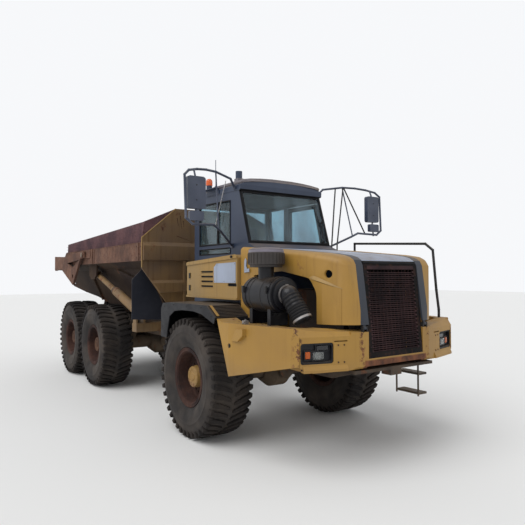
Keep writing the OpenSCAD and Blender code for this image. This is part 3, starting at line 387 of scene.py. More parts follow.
finishes.update({name: plainMetal(name, *values) for name, values in {   # colour, roughness
    "brightRod": ((0.62, 0.62, 0.63), 0.2), "lampBowl": ((0.75, 0.75, 0.74), 0.4),
    "clampSteel": ((0.34, 0.33, 0.33), 0.45), "mirrorGlass": ((0.80, 0.82, 0.84), 0.03),
    "wornSteel": ((0.20, 0.16, 0.13), 0.5),
}.items()})
print("finishes ready:", len(finishes))

nodeLooks = {   # node: finish, width of its softened edges in metres, and the angle from which an edge counts
    "rear_chassis": ("dustySteel", 0.006, 35), "outriggers": ("dullOchre", 0.006, 35),
    "walking_beams": ("dustySteel", 0.008, 35), "mid_axle": ("dustySteel", 0.008, 35),
    "rear_axle": ("dustySteel", 0.008, 35), "knuckle": ("dustySteel", 0.006, 35),
    "front_chassis": ("dustySteel", 0.006, 35), "front_axle": ("dustySteel", 0.008, 35),
    "engine_block": ("dustySteel", 0.012, 35), "bumper": ("bumperOchre", 0.012, 12),
    "bonnet_hinges": ("blackSteel", 0.002, 35), "bonnet_sides": ("ochre", 0.006, 40),
    "bonnet_stripes": ("stripeGrey", 0.004, 40), "bonnet_top": ("dirtyWhite", 0.004, 30),
    "cab_shell": ("slate", 0.010, 25), "cab_roof": ("roofDust", 0.012, 20), "cab_door": ("slate", 0.005, 30),
    "cab_interior": ("softBlack", 0.010, 30), "side_box": ("boxOchre", 0.010, 30),
    "left_tank": ("ochre", 0.025, 30), "mudguards": ("blackPlastic", 0.004, 20),
    "steps": ("blackSteel", 0.003, 35), "bed_shell": ("bedOchre", 0.006, 30),
    "bed_boards": ("rustyPlate", 0.004, 30), "mud_flaps": ("flapRubber", 0.003, 35),
    "tailgate": ("rustyRail", 0.006, 30), "headlamps": ("blackPlastic", 0.005, 30),
    "beacon": ("beaconRed", 0.004, 45), "pre_cleaner": ("bowlBrown", 0.012, 35),
    "air_cleaner": ("glossBlack", 0.010, 40), "grille": ("grilleBlack", 0.002, 35),
    "roof_gear": ("slate", 0.003, 35), "mirror_right": ("mirrorShell", 0.002, 50),
    "mirror_left": ("mirrorShell", 0.002, 50),
}
nodeFinish = {node: look[0] for node, look in nodeLooks.items()}
nodeFinish.update({"lamp_lenses": "lampGlass", "cab_glass": "tealGlass", "door_glass": "tealGlass",
                   "handrails": "blackSteel"})
for side in ("right", "left"):
    nodeFinish.update({"tip_barrel_" + side: "dullOchre", "tip_stage_" + side: "blackSteel",
                       "tip_rod_" + side: "dullOchre", "steer_barrel_" + side: "dullOchre",
                       "steer_rod_" + side: "brightRod"})
    for axle in ("front", "mid", "rear"):
        nodeFinish["tyre_" + axle + "_" + side] = "tyreRubber"
        nodeFinish["rim_" + axle + "_" + side] = "rimRust"

for name, finish in nodeFinish.items():
    mesh = frame["nodes"][name].data
    mesh.materials.clear()
    mesh.materials.append(finishes[finish])
print("frame nodes painted:", len(nodeFinish))


def finishPiece(name, shape, coats, body, softness=0.0, sharpAngle=38, steps=2, normals=True):
    if normals:
        bmesh.ops.recalc_face_normals(shape, faces=shape.faces)
    mesh = bpy.data.meshes.new(name)
    shape.to_mesh(mesh)
    shape.free()
    for coat in coats:
        mesh.materials.append(finishes[coat])
    mesh.polygons.foreach_set("use_smooth", [True] * len(mesh.polygons))
    mesh.set_sharp_from_angle(angle=math.radians(sharpAngle))
    piece = placed(name, mesh)
    if softness:
        rounding = piece.modifiers.new("softEdges", "BEVEL")
        rounding.width = softness
        rounding.segments = steps
        rounding.limit_method = "ANGLE"
        rounding.angle_limit = math.radians(sharpAngle)
        rounding.harden_normals = True
    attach(piece, body)
    return piece


def copyNode(name):
    shape = bmesh.new()
    shape.from_mesh(frame["nodes"][name].data)
    bmesh.ops.remove_doubles(shape, verts=shape.verts, dist=0.0003)
    bmesh.ops.dissolve_limit(shape, angle_limit=math.radians(1), verts=shape.verts, edges=shape.edges)
    return shape


def addBlock(shape, low, high):
    low, high = Vector(low), Vector(high)
    place = Matrix.Translation((low + high) / 2) @ Matrix.Diagonal((*(high - low), 1))
    return bmesh.ops.create_cube(shape, size=1, matrix=place)["verts"]


def addBar(shape, start, end, radius, sides=20, endRadius=None):
    start, end = Vector(start), Vector(end)
    along = end - start
    place = Matrix.Translation((start + end) / 2) @ along.to_track_quat("Z", "Y").to_matrix().to_4x4()
    bmesh.ops.create_cone(shape, cap_ends=True, segments=sides, radius1=radius, radius2=endRadius or radius,
                          depth=along.length, matrix=place)


def revolve(shape, outline, centre=(0, 0, 0), axis=(0, 1, 0), steps=64):
    centre, axis = Vector(centre), Vector(axis).normalized()
    side = axis.orthogonal().normalized()
    points = [shape.verts.new(centre + side * radius + axis * offset) for radius, offset in outline]
    edges = [shape.edges.new(pair) for pair in zip(points, points[1:])]
    bmesh.ops.spin(shape, geom=points + edges, cent=centre, axis=axis, dvec=(0, 0, 0), angle=math.tau, steps=steps,
                   use_merge=True, use_duplicate=False)
    bmesh.ops.remove_doubles(shape, verts=shape.verts, dist=0.00005)


def movedCorners(pushed):
    return [v for v in pushed["geom"] if isinstance(v, bmesh.types.BMVert)]


def addSheet(shape, outline, thickness):
    face = shape.faces.new([shape.verts.new(point) for point in outline])
    pushed = bmesh.ops.extrude_face_region(shape, geom=[face])
    bmesh.ops.translate(shape, vec=Vector(thickness), verts=movedCorners(pushed))


def addBolts(shape, places, direction, radius, tall):
    direction = Vector(direction).normalized()
    for place in places:
        addBar(shape, Vector(place) - direction * tall, Vector(place) + direction * tall, radius, 6, radius * 0.92)


def bentTube(name, path, radius, coat, body, rounding=0.06, sides=3):
    points = [Vector(point) for point in path]
    route = [points[0]]
    for before, corner, after in zip(points, points[1:], points[2:]):
        for other in (before, after):
            reach = min(rounding, (other - corner).length * 0.45)
            step = corner + (other - corner).normalized() * reach
            route.append(step)
            if other is before:
                route.append(corner)
    route.append(points[-1])
    tube = bpy.data.curves.new(name, "CURVE")
    tube.dimensions = "3D"
    tube.bevel_depth = radius
    tube.bevel_resolution = sides
    tube.resolution_u = 4
    tube.use_fill_caps = True
    spline = tube.splines.new("NURBS")
    spline.points.add(len(route) - 1)
    for control, point in zip(spline.points, route):
        control.co = (*point, 1)
    spline.order_u = 3
    spline.use_endpoint_u = True
    tube.materials.append(finishes[coat])
    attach(placed(name, tube), body)


tyre = {
    "lugs": 42,
    "top": 0.806,            # radius over the lugs
    "floor": 0.774,          # radius between the lugs
    "turn": -0.27,           # degrees that line the lugs up with the frame's
    "sidewall": [(0.352, 0.228), (0.398, 0.232), (0.412, 0.250), (0.428, 0.252), (0.44, 0.262), (0.47, 0.277),
                 (0.52, 0.291), (0.565, 0.297), (0.60, 0.2975), (0.604, 0.300), (0.616, 0.300), (0.62, 0.2965),
                 (0.66, 0.291), (0.70, 0.281), (0.735, 0.266), (0.760, 0.245)],
    "lug": [(-0.038, 0.268), (0.038, 0.268), (0.058, 0.160), (0.106, 0.028), (0.060, 0.028), (-0.008, 0.160)],
    "shoulder": [(-0.036, 0.792), (0.036, 0.792), (0.030, 0.705), (-0.030, 0.705)],
    "steps": 84,
    "tread": 0.8,            # radius at which the lugs are laid out
    "crown": 0.010,          # how much lower the tread lies at the shoulders
    "root": 0.012,           # how deep the lugs reach into the carcass
    "shoulderAt": 0.240,     # how far out the shoulder blocks start
    "shoulderTall": 0.050,
    "lugEdge": 0.262,        # how far out the crown has dropped in full
}
wheel = {
    "section": [(0.092, -0.285), (0.150, -0.285), (0.150, 0.016), (0.165, 0.020), (0.285, 0.016), (0.302, 0.008),
                (0.330, -0.03), (0.330, -0.19), (0.336, -0.228), (0.346, -0.236), (0.366, -0.246), (0.385, -0.2495),
                (0.398, -0.2495), (0.399, -0.238), (0.360, -0.232), (0.352, -0.225), (0.352, 0.225), (0.360, 0.232),
                (0.399, 0.238), (0.398, 0.2495), (0.385, 0.2495), (0.374, 0.243), (0.366, 0.246), (0.352, 0.246),
                (0.346, 0.236), (0.336, 0.228), (0.330, 0.19), (0.322, 0.060), (0.300, 0.043), (0.285, 0.048),
                (0.165, 0.052), (0.160, 0.060), (0.156, 0.100), (0.150, 0.104), (0.092, 0.104)],
    "hub": [(0.092, 0.100), (0.150, 0.104), (0.1495, 0.120), (0.143, 0.128), (0.141, 0.168), (0.132, 0.1805),
            (0.096, 0.1805), (0.088, 0.172), (0.052, 0.172), (0.044, 0.1805), (0.0, 0.1805)],
    "studs": (20, 0.235, 0.052),              # how many, on which circle, how far out
    "studSize": (0.015, 0.014),               # radius and half its height
    "capBolts": (12, 0.116, 0.1765, 0.2),     # the same, and the first one's angle
    "capBoltSize": (0.011, 0.004),
    "valve": (0.30, 0.07),                    # radius of its circle, and how far out
}


def raisedPatch(shape, outline, push, keep):
    face = shape.faces.new([shape.verts.new(point) for point in outline])
    raised = movedCorners(bmesh.ops.extrude_face_region(shape, geom=[face]))
    bmesh.ops.translate(shape, vec=push, verts=raised)
    middle = sum((v.co for v in raised), Vector()) / len(raised)
    bmesh.ops.scale(shape, vec=keep, space=Matrix.Translation(-middle), verts=raised)


def shapeTyre(values):
    lugs = bmesh.new()   # drawn unrolled, with x along the tread and z as the radius
    pitch = math.tau * values["tread"] / values["lugs"]
    rise = values["top"] - values["floor"] + values["root"]
    stations = [(side, pitch * (count + (0.5 if side > 0 else 0)))
                for side in (1, -1) for count in range(values["lugs"])]
    for side, along in stations:
        raisedPatch(lugs, [(u + along, side * v, values["floor"] - values["root"]) for u, v in values["lug"]],
                    (0, 0, rise), (0.88, 0.96, 1))
    for corner in lugs.verts:
        corner.co.z -= values["crown"] * (abs(corner.co.y) / values["lugEdge"]) ** 4
    for side, along in stations:
        raisedPatch(lugs, [(u + along, side * values["shoulderAt"], r) for u, r in values["shoulder"]],
                    (0, side * values["shoulderTall"], 0), (0.82, 1, 0.86))
    for corner in lugs.verts:
        u, v, r = corner.co
        corner.co = (r * math.sin(u / values["tread"]), v, r * math.cos(u / values["tread"]))
    lugMesh = bpy.data.meshes.new("lugs")
    for face in lugs.faces:
        face.material_index = 1
    lugs.to_mesh(lugMesh)
    lugs.free()
    shape = bmesh.new()
    half = values["sidewall"] + [(values["floor"], 0.20), (values["floor"] + 0.004, 0.0)]
    revolve(shape, half + [(radius, -offset) for radius, offset in reversed(half[:-1])], steps=values["steps"])
    shape.from_mesh(lugMesh)
    return shape


def ringPlaces(count, radius, offset, start=0.0):
    angles = [start + math.tau * step / count for step in range(count)]
    return [Vector((radius * math.sin(angle), offset, radius * math.cos(angle))) for angle in angles]


def shapeRim(values):
    shape = bmesh.new()
    revolve(shape, values["section"] + values["section"][:1], steps=72)
    addBolts(shape, ringPlaces(*values["studs"]), (0, 1, 0), *values["studSize"])
    valve = ringPlaces(1, *values["valve"])[0]
    addBar(shape, valve, valve + Vector((0, 0.05, 0.02)), 0.006, sides=8)
    return shape


def shapeHub(values):
    shape = bmesh.new()
    revolve(shape, values["hub"], steps=48)
    addBolts(shape, ringPlaces(*values["capBolts"]), (0, 1, 0), *values["capBoltSize"])
    return shape


wheelBodies = [(axle, side) for axle in ("front", "mid", "rear") for side in ("right", "left")]
for kind, shaper, values in (("tyre", shapeTyre, tyre), ("rim", shapeRim, wheel), ("hub", shapeHub, wheel)):
    pattern = bpy.data.meshes.new(kind + "Pattern")
    drawn = shaper(values)
    drawn.to_mesh(pattern)
    drawn.free()
    for axle, side in wheelBodies:
        low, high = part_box("tyre_" + axle + "_" + side)
        shape = bmesh.new()
        shape.from_mesh(pattern)
        turned = Matrix.Rotation(math.radians(tyre["turn"]), 4, "Y")
        mirrored = Matrix.Diagonal((1, 1 if side == "left" else -1, 1, 1))
        bmesh.ops.transform(shape, matrix=Matrix.Translation((low + high) / 2) @ mirrored @ turned, verts=shape.verts)
        coats = {"tyre": ["tyreRubber", "treadMud"], "rim": ["rimRust"],
                 "hub": ["hubOchre" if axle == "front" else "rustyBrown"]}
        piece = finishPiece(kind + axle.title() + side.title(), shape, coats[kind], "wheel_" + axle + "_" + side,
                            {"tyre": 0.006, "rim": 0.003, "hub": 0.003}[kind], 40, 1 if kind == "tyre" else 2)
        if kind != "hub":
            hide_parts(kind + "_" + axle + "_" + side)
print("wheels and tyres built")


nodeBody = {node: body for body, nodes in frame["record"]["behaviour"]["bodies"].items() for node in nodes}
secondCoats = {   # node: coats for the faces whose middle c and normal n, seen from the front axle, meet the rule
    # the cab's inner faces, the roof's downward faces and the door's inner side are soft black: painted shade
    "cab_shell": [("softBlack", lambda c, n: abs(c.y) < 0.706 and -1.11 < c.x < 0.50
                   and 1.735 < c.z < (3.40 if n.z < -0.6 else 3.345))],
    "cab_roof": [("softBlack", lambda c, n: n.z < -0.5)],
    "cab_door": [("softBlack", lambda c, n: c.y < 0.703)],
    "bed_shell": [("rustyRail", lambda c, n: abs(c.y) > 1.30 and c.z > 2.42 and c.x < -1.9),
                  ("rustyPlate", lambda c, n: c.x < -1.86 and c.z > 1.40 and (
                      n.y * c.y < -0.1 or n.x < -0.5 and abs(c.y) < 0.9 and c.x > -2.3
                      or n.z > 0.3 and abs(c.y) < 0.75)),
                  # the flank below the rail takes the darker coat: dirt with painted shade
                  ("bedFlank", lambda c, n: c.x < -1.93 and c.z < 2.43)],
}


def coatSecond(shape, rules):
    for face in shape.faces:
        middle = face.calc_center_median() - Vector((frontAxle, 0, 0))
        for index, (coat, holds) in enumerate(rules, 1):
            if holds(middle, face.normal):
                face.material_index = index
                break


def liftSeat(shape):
    # the seat's plain blocks come off, because padded pieces take their place
    blocks = [v for v in shape.verts if -0.87 < v.co.x - frontAxle < -0.14 and abs(v.co.y) < 0.262 and v.co.z > 2.148]
    bmesh.ops.delete(shape, geom=blocks, context="VERTS")
    bmesh.ops.holes_fill(shape, edges=[edge for edge in shape.edges if edge.is_boundary])


def roundHead(shape):
    # the upright mirror heads have round corners, as seen from ahead
    for low, high, radius in ((3.01, 3.44, 0.034), (2.86, 2.995, 0.018)):
        corners = [edge for edge in shape.edges if len(edge.link_faces) == 2
                   and abs(edge.verts[0].co.x - edge.verts[1].co.x) > 0.04
                   and all(0.478 < v.co.x - frontAxle < 0.570 and 1.44 < abs(v.co.y) < 1.71 and low < v.co.z < high
                           for v in edge.verts)]
        bmesh.ops.bevel(shape, geom=corners, offset=radius, segments=5, profile=0.5, affect="EDGES",
                        clamp_overlap=False, material=-1)


reshape = {"cab_interior": liftSeat, "mirror_right": roundHead, "mirror_left": roundHead}
for node, (finish, width, angle) in nodeLooks.items():
    rules = secondCoats.get(node, [])
    drawn = copyNode(node)
    coatSecond(drawn, rules)
    if node in reshape:
        reshape[node](drawn)
    coats = [finish] + [coat for coat, holds in rules]
    dressed = finishPiece("dressed_" + node, drawn, coats, nodeBody[node], width, angle, 3 if width > 0.006 else 2,
                          normals=False)
    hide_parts(node)
print("frame nodes given soft edges:", len(nodeLooks))


def setFrame(shape, place):
    bmesh.ops.transform(shape, matrix=place, verts=shape.verts)


sideNames = {-1: "Right", 1: "Left"}


def fitPiece(name, shape, coat, softness=0.0, body="front_frame", place=None):
    if place is not None:
        setFrame(shape, place)
    finishPiece(name, shape, [coat], body, softness)


def drawPiece(name, coat, softness=0.0, body="front_frame", place=None, blocks=(), bars=(), bolts=None):
    # blocks: opposite corners; bars: start, end, radius, sides, end radius; bolts: places, direction, radius, tall
    shape = bmesh.new()
    for low, high in blocks:
        addBlock(shape, low, high)
    for bar in bars:
        addBar(shape, *bar)
    if bolts:
        addBolts(shape, *bolts)
    fitPiece(name, shape, coat, softness, body, place)


def axes(corner, first, second, third):
    return Matrix.Translation(corner) @ Matrix((first, second, third)).transposed().to_4x4()


def rectangle(left, low, right, high):
    return [(left, low), (right, low), (right, high), (left, high)]


def addBorder(shape, corners, width, low, high):
    # a flat frame between two heights, along the inside of a convex outline drawn anticlockwise
    count = len(corners)
    points = [Vector(corner) for corner in corners]
    inner = []
    for before, point, after in zip(points[-1:] + points, points, points[1:] + points[:1]):
        one, two = (point - before).normalized(), (after - point).normalized()
        inward = Vector((-one.y - two.y, one.x + two.x)).normalized()
        inner.append(point + inward * width / max(0.3, inward.dot(Vector((-two.y, two.x)))))
    rings = [[shape.verts.new((p.x, p.y, h)) for p in ring] for h in (low, high) for ring in (points, inner)]
    for k in range(count):
        n = (k + 1) % count
        for one, two in ((0, 1), (1, 3), (3, 2), (2, 0)):
            shape.faces.new([rings[one][k], rings[one][n], rings[two][n], rings[two][k]])


def sidePlace(side, y):
    # drawn flat in x and z, standing off the machine's side
    return axes(at(0, side * y, 0), (1, 0, 0), (0, 0, 1), (0, side, 0))


grille = {"foot": (2.390, 1.272), "rake": 5, "tall": 1.035, "halfWidth": 0.440, "rowPitch": 0.0229,
          "columnPitch": 0.058, "wire": 0.0042, "tooth": 0.011, "teeth": 20, "fins": 60}


def addGrilleMesh(foot, rake, tall, halfWidth, rowPitch, columnPitch, wire, tooth, teeth, fins):
    place = Matrix.Translation(at(foot[0], 0, foot[1])) @ Matrix.Rotation(math.radians(-rake), 4, "Y")
    inside = halfWidth - 0.052
    rows = [0.068 + row * rowPitch for row in range(int((tall - 0.12) / rowPitch))]
    gaps = int(2 * inside / columnPitch)
    columns = [(column - gaps / 2) * columnPitch for column in range(gaps + 1)]
    drawPiece("grilleMesh", "grilleBrown", place=place, blocks=[
        ((-0.020, -inside, up - wire), (-0.012, inside, up + wire)) for up in rows] + [
        ((-0.024, y - wire * 0.6, 0.056), (-0.019, y + wire * 0.6, tall - 0.056)) for y in columns])
    edge = inside - 0.004
    drawPiece("grilleEdging", "grilleBrown", 0.002, place=place, blocks=[
        ((-0.018, side * edge - 0.016, up - tooth), (-0.001, side * edge + 0.016, up + tooth))
        for side in (-1, 1) for up in [0.072 + row * rowPitch * 2 for row in range(teeth)]] + [
        ((-0.010, -inside, tall - 0.062), (0.002, inside, tall - 0.020))],
        bolts=([(0.001, y, up) for y in (-0.41, 0.41) for up in (0.12, 0.5, 0.9)], (1, 0, 0), 0.009, 0.004))
    drawPiece("grilleSeal", "softBlack", 0.003, place=place, blocks=[
        ((-0.045, 0.003 - halfWidth, tall + 0.003), (-0.006, halfWidth - 0.003, tall + 0.026))] + [
        ((-0.030, side * 0.447 - 0.005, 0.30), (-0.004, side * 0.447 + 0.005, tall - 0.01)) for side in (-1, 1)])
    # near-black radiator core with fins behind the grille: its dark colour is painted shade seen through the grille
    drawPiece("radiatorCoreShade", "grilleBlack", blocks=[(at(2.152, -0.420, 1.290), at(2.156, 0.420, 2.235))] + [
        (at(2.155, -0.414 + fin * 0.014, 1.300), at(2.164, -0.411 + fin * 0.014, 2.225)) for fin in range(fins)])
    shroud = bmesh.new()
    for side in (-1, 1):
        outline = ((2.158, 1.292), (2.345, 1.292), (2.262, 2.232), (2.158, 2.232))
        addSheet(shroud, [at(x, side * 0.428, z) for x, z in outline], (0, side * 0.004, 0))
    fitPiece("radiatorShroud", shroud, "softBlack")


addGrilleMesh(**grille)
print("grille meshed")

lamps = {
    "corner": (2.190, 1.262), "along": (0.2676, -0.9635),
    "lenses": [("amberLens", 0.080, 0.140, 1.304, 1.382), ("lampGlass", 0.166, 0.298, 1.292, 1.376),
               ("smokyLens", 0.208, 0.350, 1.388, 1.444)],   # coat, ends along the bumper's face, low and high
    "bolts": [(0.45, 1.26), (0.45, 1.44), (0.52, 1.26), (0.52, 1.44), (0.03, 1.20), (0.37, 1.20)],
}


def addLamps(side, shape, corner, along, lenses, bolts):
    place = axes(at(corner[0], side * corner[1], 0), (along[0], side * along[1], 0),
                 (-along[1], side * along[0], 0), (0, 0, 1))
    bowls = bmesh.new()
    for count, (coat, start, end, low, high) in enumerate(lenses):
        lens = addBlock(shape, (start, -0.036, low), (end, -0.022, high))
        bmesh.ops.scale(shape, vec=(0.90, 1, 0.86), verts=[v for v in lens if v.co.y > -0.03],
                        space=Matrix.Translation((-(start + end) / 2, 0, -(low + high) / 2)))
        for face in {face for corner in lens for face in corner.link_faces}:
            face.material_index = count
        bmesh.ops.transform(shape, matrix=place, verts=lens)
        reach = (high - low) * 0.5
        outline = [(0.0, 0.0), (0.6, 0.0005), (0.92, 0.0040), (0.92, 0.0052), (0.5, 0.0022), (0.0, 0.0014)]
        revolve(bowls, [(reach * radius, offset) for radius, offset in outline],
                ((start + end) / 2, -0.0448, (low + high) / 2), (0, 1, 0), 32)
    fitPiece("bowls" + sideNames[side], bowls, "lampBowl", place=place)
    drawPiece("faceBolts" + sideNames[side], "rustyBrown", 0.001, place=place,
              bolts=([(s, 0.001, z) for s, z in bolts], (0, 1, 0), 0.010, 0.005))


lensShape = bmesh.new()
for side in (-1, 1):
    addLamps(side, lensShape, **lamps)
lampLenses = finishPiece("lampLenses", lensShape, [lens[0] for lens in lamps["lenses"]], "front_frame", 0.006, 25, 3)
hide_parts("lamp_lenses")
print("lamps glazed")

cabGlazing = {
    "screenFoot": (0.445, 2.640), "screenTop": (0.215, 3.368), "screenHalf": 0.715, "rubber": 0.022,
    "sidePane": [(-0.960, 2.630), (-0.015, 2.630), (-0.015, 3.265), (-0.960, 3.285)],
    "strip": (-0.960, 2.490, -0.015, 2.585), "rearPane": (-0.660, 2.500, 0.660, 3.280), "split": -0.394,
    "sideFace": 0.740, "rearFace": -1.130, "wiperFoot": 0.030,
}


def addGlazing(screenFoot, screenTop, screenHalf, rubber, sidePane, strip, rearPane, split, sideFace, rearFace,
               wiperFoot):
    (footX, footZ), (topX, topZ) = screenFoot, screenTop
    slope = Vector((topX - footX, 0, topZ - footZ))
    rise = slope.normalized()
    screen = axes(at(footX, 0, footZ), (0, 1, 0), rise, Vector((0, 1, 0)).cross(rise))
    edging = bmesh.new()
    addBorder(edging, rectangle(-screenHalf, 0, screenHalf, slope.length), rubber, -0.004, 0.010)
    fitPiece("screenRubber", edging, "softBlack", 0.003, place=screen)
    drawPiece("wiper", "softBlack", 0.001, place=screen, blocks=[((0.640, 0.335, 0.008), (0.668, 0.365, 0.024))],
              bars=[((0.60, wiperFoot, 0.020), (0.655, 0.36, 0.022), 0.007, 10, 0.005),
                    ((0.60, wiperFoot, 0.000), (0.60, wiperFoot, 0.034), 0.018, 16, 0.015),
                    ((0.675, 0.05, 0.013), (0.560, 0.62, 0.013), 0.006, 8, 0.005)])
    edging = bmesh.new()
    addBorder(edging, sidePane, rubber, -0.004, 0.008)
    addBorder(edging, rectangle(*strip), 0.016, -0.004, 0.008)
    addBlock(edging, (split - 0.018, 2.640, -0.030), (split + 0.018, 3.268, 0.002))
    fitPiece("sideRubbers", edging, "softBlack", 0.003, place=sidePlace(-1, sideFace))
    edging = bmesh.new()
    addBorder(edging, rectangle(*rearPane), rubber, -0.006, 0.006)
    rear = axes(at(rearFace, 0, 0), (0, 1, 0), (0, 0, 1), (-1, 0, 0))
    fitPiece("rearRubber", edging, "softBlack", 0.003, place=rear)
    drawPiece("sideStay", "brightRod", bars=[(at(-0.10, -0.770, 3.55), at(-0.40, -0.770, 2.93), 0.006, 8)])


addGlazing(**cabGlazing)
print("cab glazing edged")

seat = {"cushion": ((-0.705, -0.250, 2.150), (-0.165, 0.250, 2.280)),
        "back": ((-0.845, 2.945), (-0.635, 2.285)), "half": 0.235, "thick": 0.13, "piping": 0.006,
        "roundness": 0.28,    # share of the thickness
        "seamPlace": 0.27,    # share of the width, from the middle
        "seamWidth": 0.02, "cushionCrown": 0.020, "backCrown": 0.022}


def crowned(name, place, size, lift):
    shape = bmesh.new()
    addBlock(shape, [-value / 2 for value in size], [value / 2 for value in size])
    bmesh.ops.bevel(shape, geom=shape.edges[:], offset=min(size) * seat["roundness"], segments=3, profile=0.5,
                    affect="EDGES", material=-1)
    bmesh.ops.subdivide_edges(shape, edges=shape.edges[:], cuts=2, use_grid_fill=True)
    for corner in shape.verts:
        across = math.cos(math.pi * 0.9 * corner.co.x / size[0]) * math.cos(math.pi * 0.9 * corner.co.y / size[1])
        seam = max(0, 1 - abs(abs(corner.co.y) - size[1] * seat["seamPlace"]) / seat["seamWidth"])
        corner.co.z += lift * max(0, across) * (1 if corner.co.z > 0 else 0)
        corner.co.z -= seat["piping"] * seam * (1 if corner.co.z > 0 else 0)
    setFrame(shape, place)
    piece = finishPiece(name, shape, ["seatCloth"], "front_frame", sharpAngle=70)
    smooth = piece.modifiers.new("softFoam", "SUBSURF")
    smooth.levels = smooth.render_levels = 1


low, high = seat["cushion"]
middle = [(a + b) / 2 for a, b in zip(low, high)]
crowned("seatCushion", Matrix.Translation(at(*middle)), [b - a for a, b in zip(low, high)], seat["cushionCrown"])
(topX, topZ), (footX, footZ) = seat["back"]
rise = Vector((topX - footX, 0, topZ - footZ))
down = -rise.normalized()
crowned("seatBack", axes(at((topX + footX) / 2 + 0.01, 0, (topZ + footZ) / 2), down, (0, 1, 0),
                         down.cross(Vector((0, 1, 0)))), (rise.length, 2 * seat["half"], seat["thick"]),
        seat["backCrown"])
print("seat upholstered")

bonnetLedge = [   # along the bulge behind the air cleaner: x, y, z and how wide its bright slope is
    (1.880, 0.866, 2.146, 0.030), (1.965, 0.882, 2.128, 0.045), (2.075, 0.850, 2.096, 0.036),
    (2.190, 0.785, 2.056, 0.020), (2.260, 0.724, 2.030, 0.005),
]


def addBonnetLedge(side, places):
    ledge = bmesh.new()
    rings = []
    for x, y, z, wide in places:
        corners = ((y + 0.002, z), (y - 0.6 * wide, z + wide), (y - wide - 0.02, z - 0.01))
        rings.append([ledge.verts.new(at(x, side * across, up)) for across, up in corners])
    edges = [[ledge.edges.new((ring[k], ring[(k + 1) % 3])) for k in range(3)] for ring in rings]
    for first, second in zip(edges, edges[1:]):
        bmesh.ops.bridge_loops(ledge, edges=first + second)
    bmesh.ops.holes_fill(ledge, edges=[edge for edge in ledge.edges if edge.is_boundary])
    fitPiece("bonnetLedge" + sideNames[side], ledge, "boxOchre", 0.003, "bonnet")


for side in (-1, 1):
    addBonnetLedge(side, bonnetLedge)

sideBox = {
    "front": 1.050, "plate": [(0.050, 2.080), (0.620, 2.080), (0.620, 2.352), (0.120, 2.342), (0.050, 2.290)],
    "rivets": [(0.075, 2.10), (0.33, 2.10), (0.60, 2.10), (0.60, 2.33), (0.14, 2.325)],
    "louvres": [2.015, 2.083, 2.151, 2.219], "louvreEnds": (-0.335, 0.025), "vents": [2.043, 2.055, 2.067],
    "knob": [(0.0, 0.030), (0.012, 0.028), (0.018, 0.020), (0.018, 0.010), (0.010, 0.006), (0.010, -0.002),
             (0.0, -0.002)],
}


def addSideBoxFittings(front, plate, rivets, louvres, louvreEnds, vents, knob):
    place = sidePlace(-1, front)
    start, end = louvreEnds
    sign = bmesh.new()
    addSheet(sign, [(x, z, 0.0005) for x, z in plate], (0, 0, 0.004))
    fitPiece("blankPlate", sign, "dirtyWhite", 0.001, place=place)
    drawPiece("plateRivets", "wornSteel", place=place,
              bolts=([(x, z, 0.0045) for x, z in rivets], (0, 0, 1), 0.007, 0.002))
    drawPiece("louvreLips", "boxOchre", place=place, bars=[
        ((start, z - 0.004, 0.001), (end, z - 0.004, 0.001), 0.004, 10) for z in louvres])
    # dark blocks behind the louvres and the vent slits: painted shade in the recesses
    drawPiece("louvreShade", "softBlack", place=place, blocks=[
        ((start, z, -0.026), (end, z + 0.026, -0.012)) for z in louvres] + [
        ((0.420, 2.035, -0.026), (0.640, 2.075, -0.012))] + [
        ((0.424, z - 0.0025, -0.013), (0.636, z + 0.0025, -0.001)) for z in vents])
    latches = bmesh.new()
    revolve(latches, knob, (0.55, 2.425, 0.014), (0, 0, 1), 24)
    for z in (2.140, 1.960):
        addBlock(latches, (-0.70, z, 0.0), (-0.66, z + 0.080, 0.014))
    fitPiece("boxLatches", latches, "blackSteel", 0.003, place=place)


addSideBoxFittings(**sideBox)
print("side box fitted")

airCleaner = {
    "axis": (-1.150, 1.960), "bands": [(1.250, 1.310), (1.700, 1.760)], "ringX": (1.38, 1.60),
    "hose": [(1.880, -1.150, 1.965), (1.975, -1.122, 1.830), (2.055, -1.095, 1.690)],
    "stack": 1.450, "finCount": 28,
    "cap": [(0.0, 0.002), (0.199, 0.002), (0.2065, 0.006), (0.205, 0.030), (0.192, 0.047), (0.162, 0.058),
            (0.08, 0.0635), (0.0, 0.0645)],
}


def addBand(shape, inner, outer, half, lip, centre, axis, steps):
    outline = [(inner, -half), (outer, -lip), (outer, lip), (inner, half), (inner, -half)]
    revolve(shape, outline, centre, axis, steps)


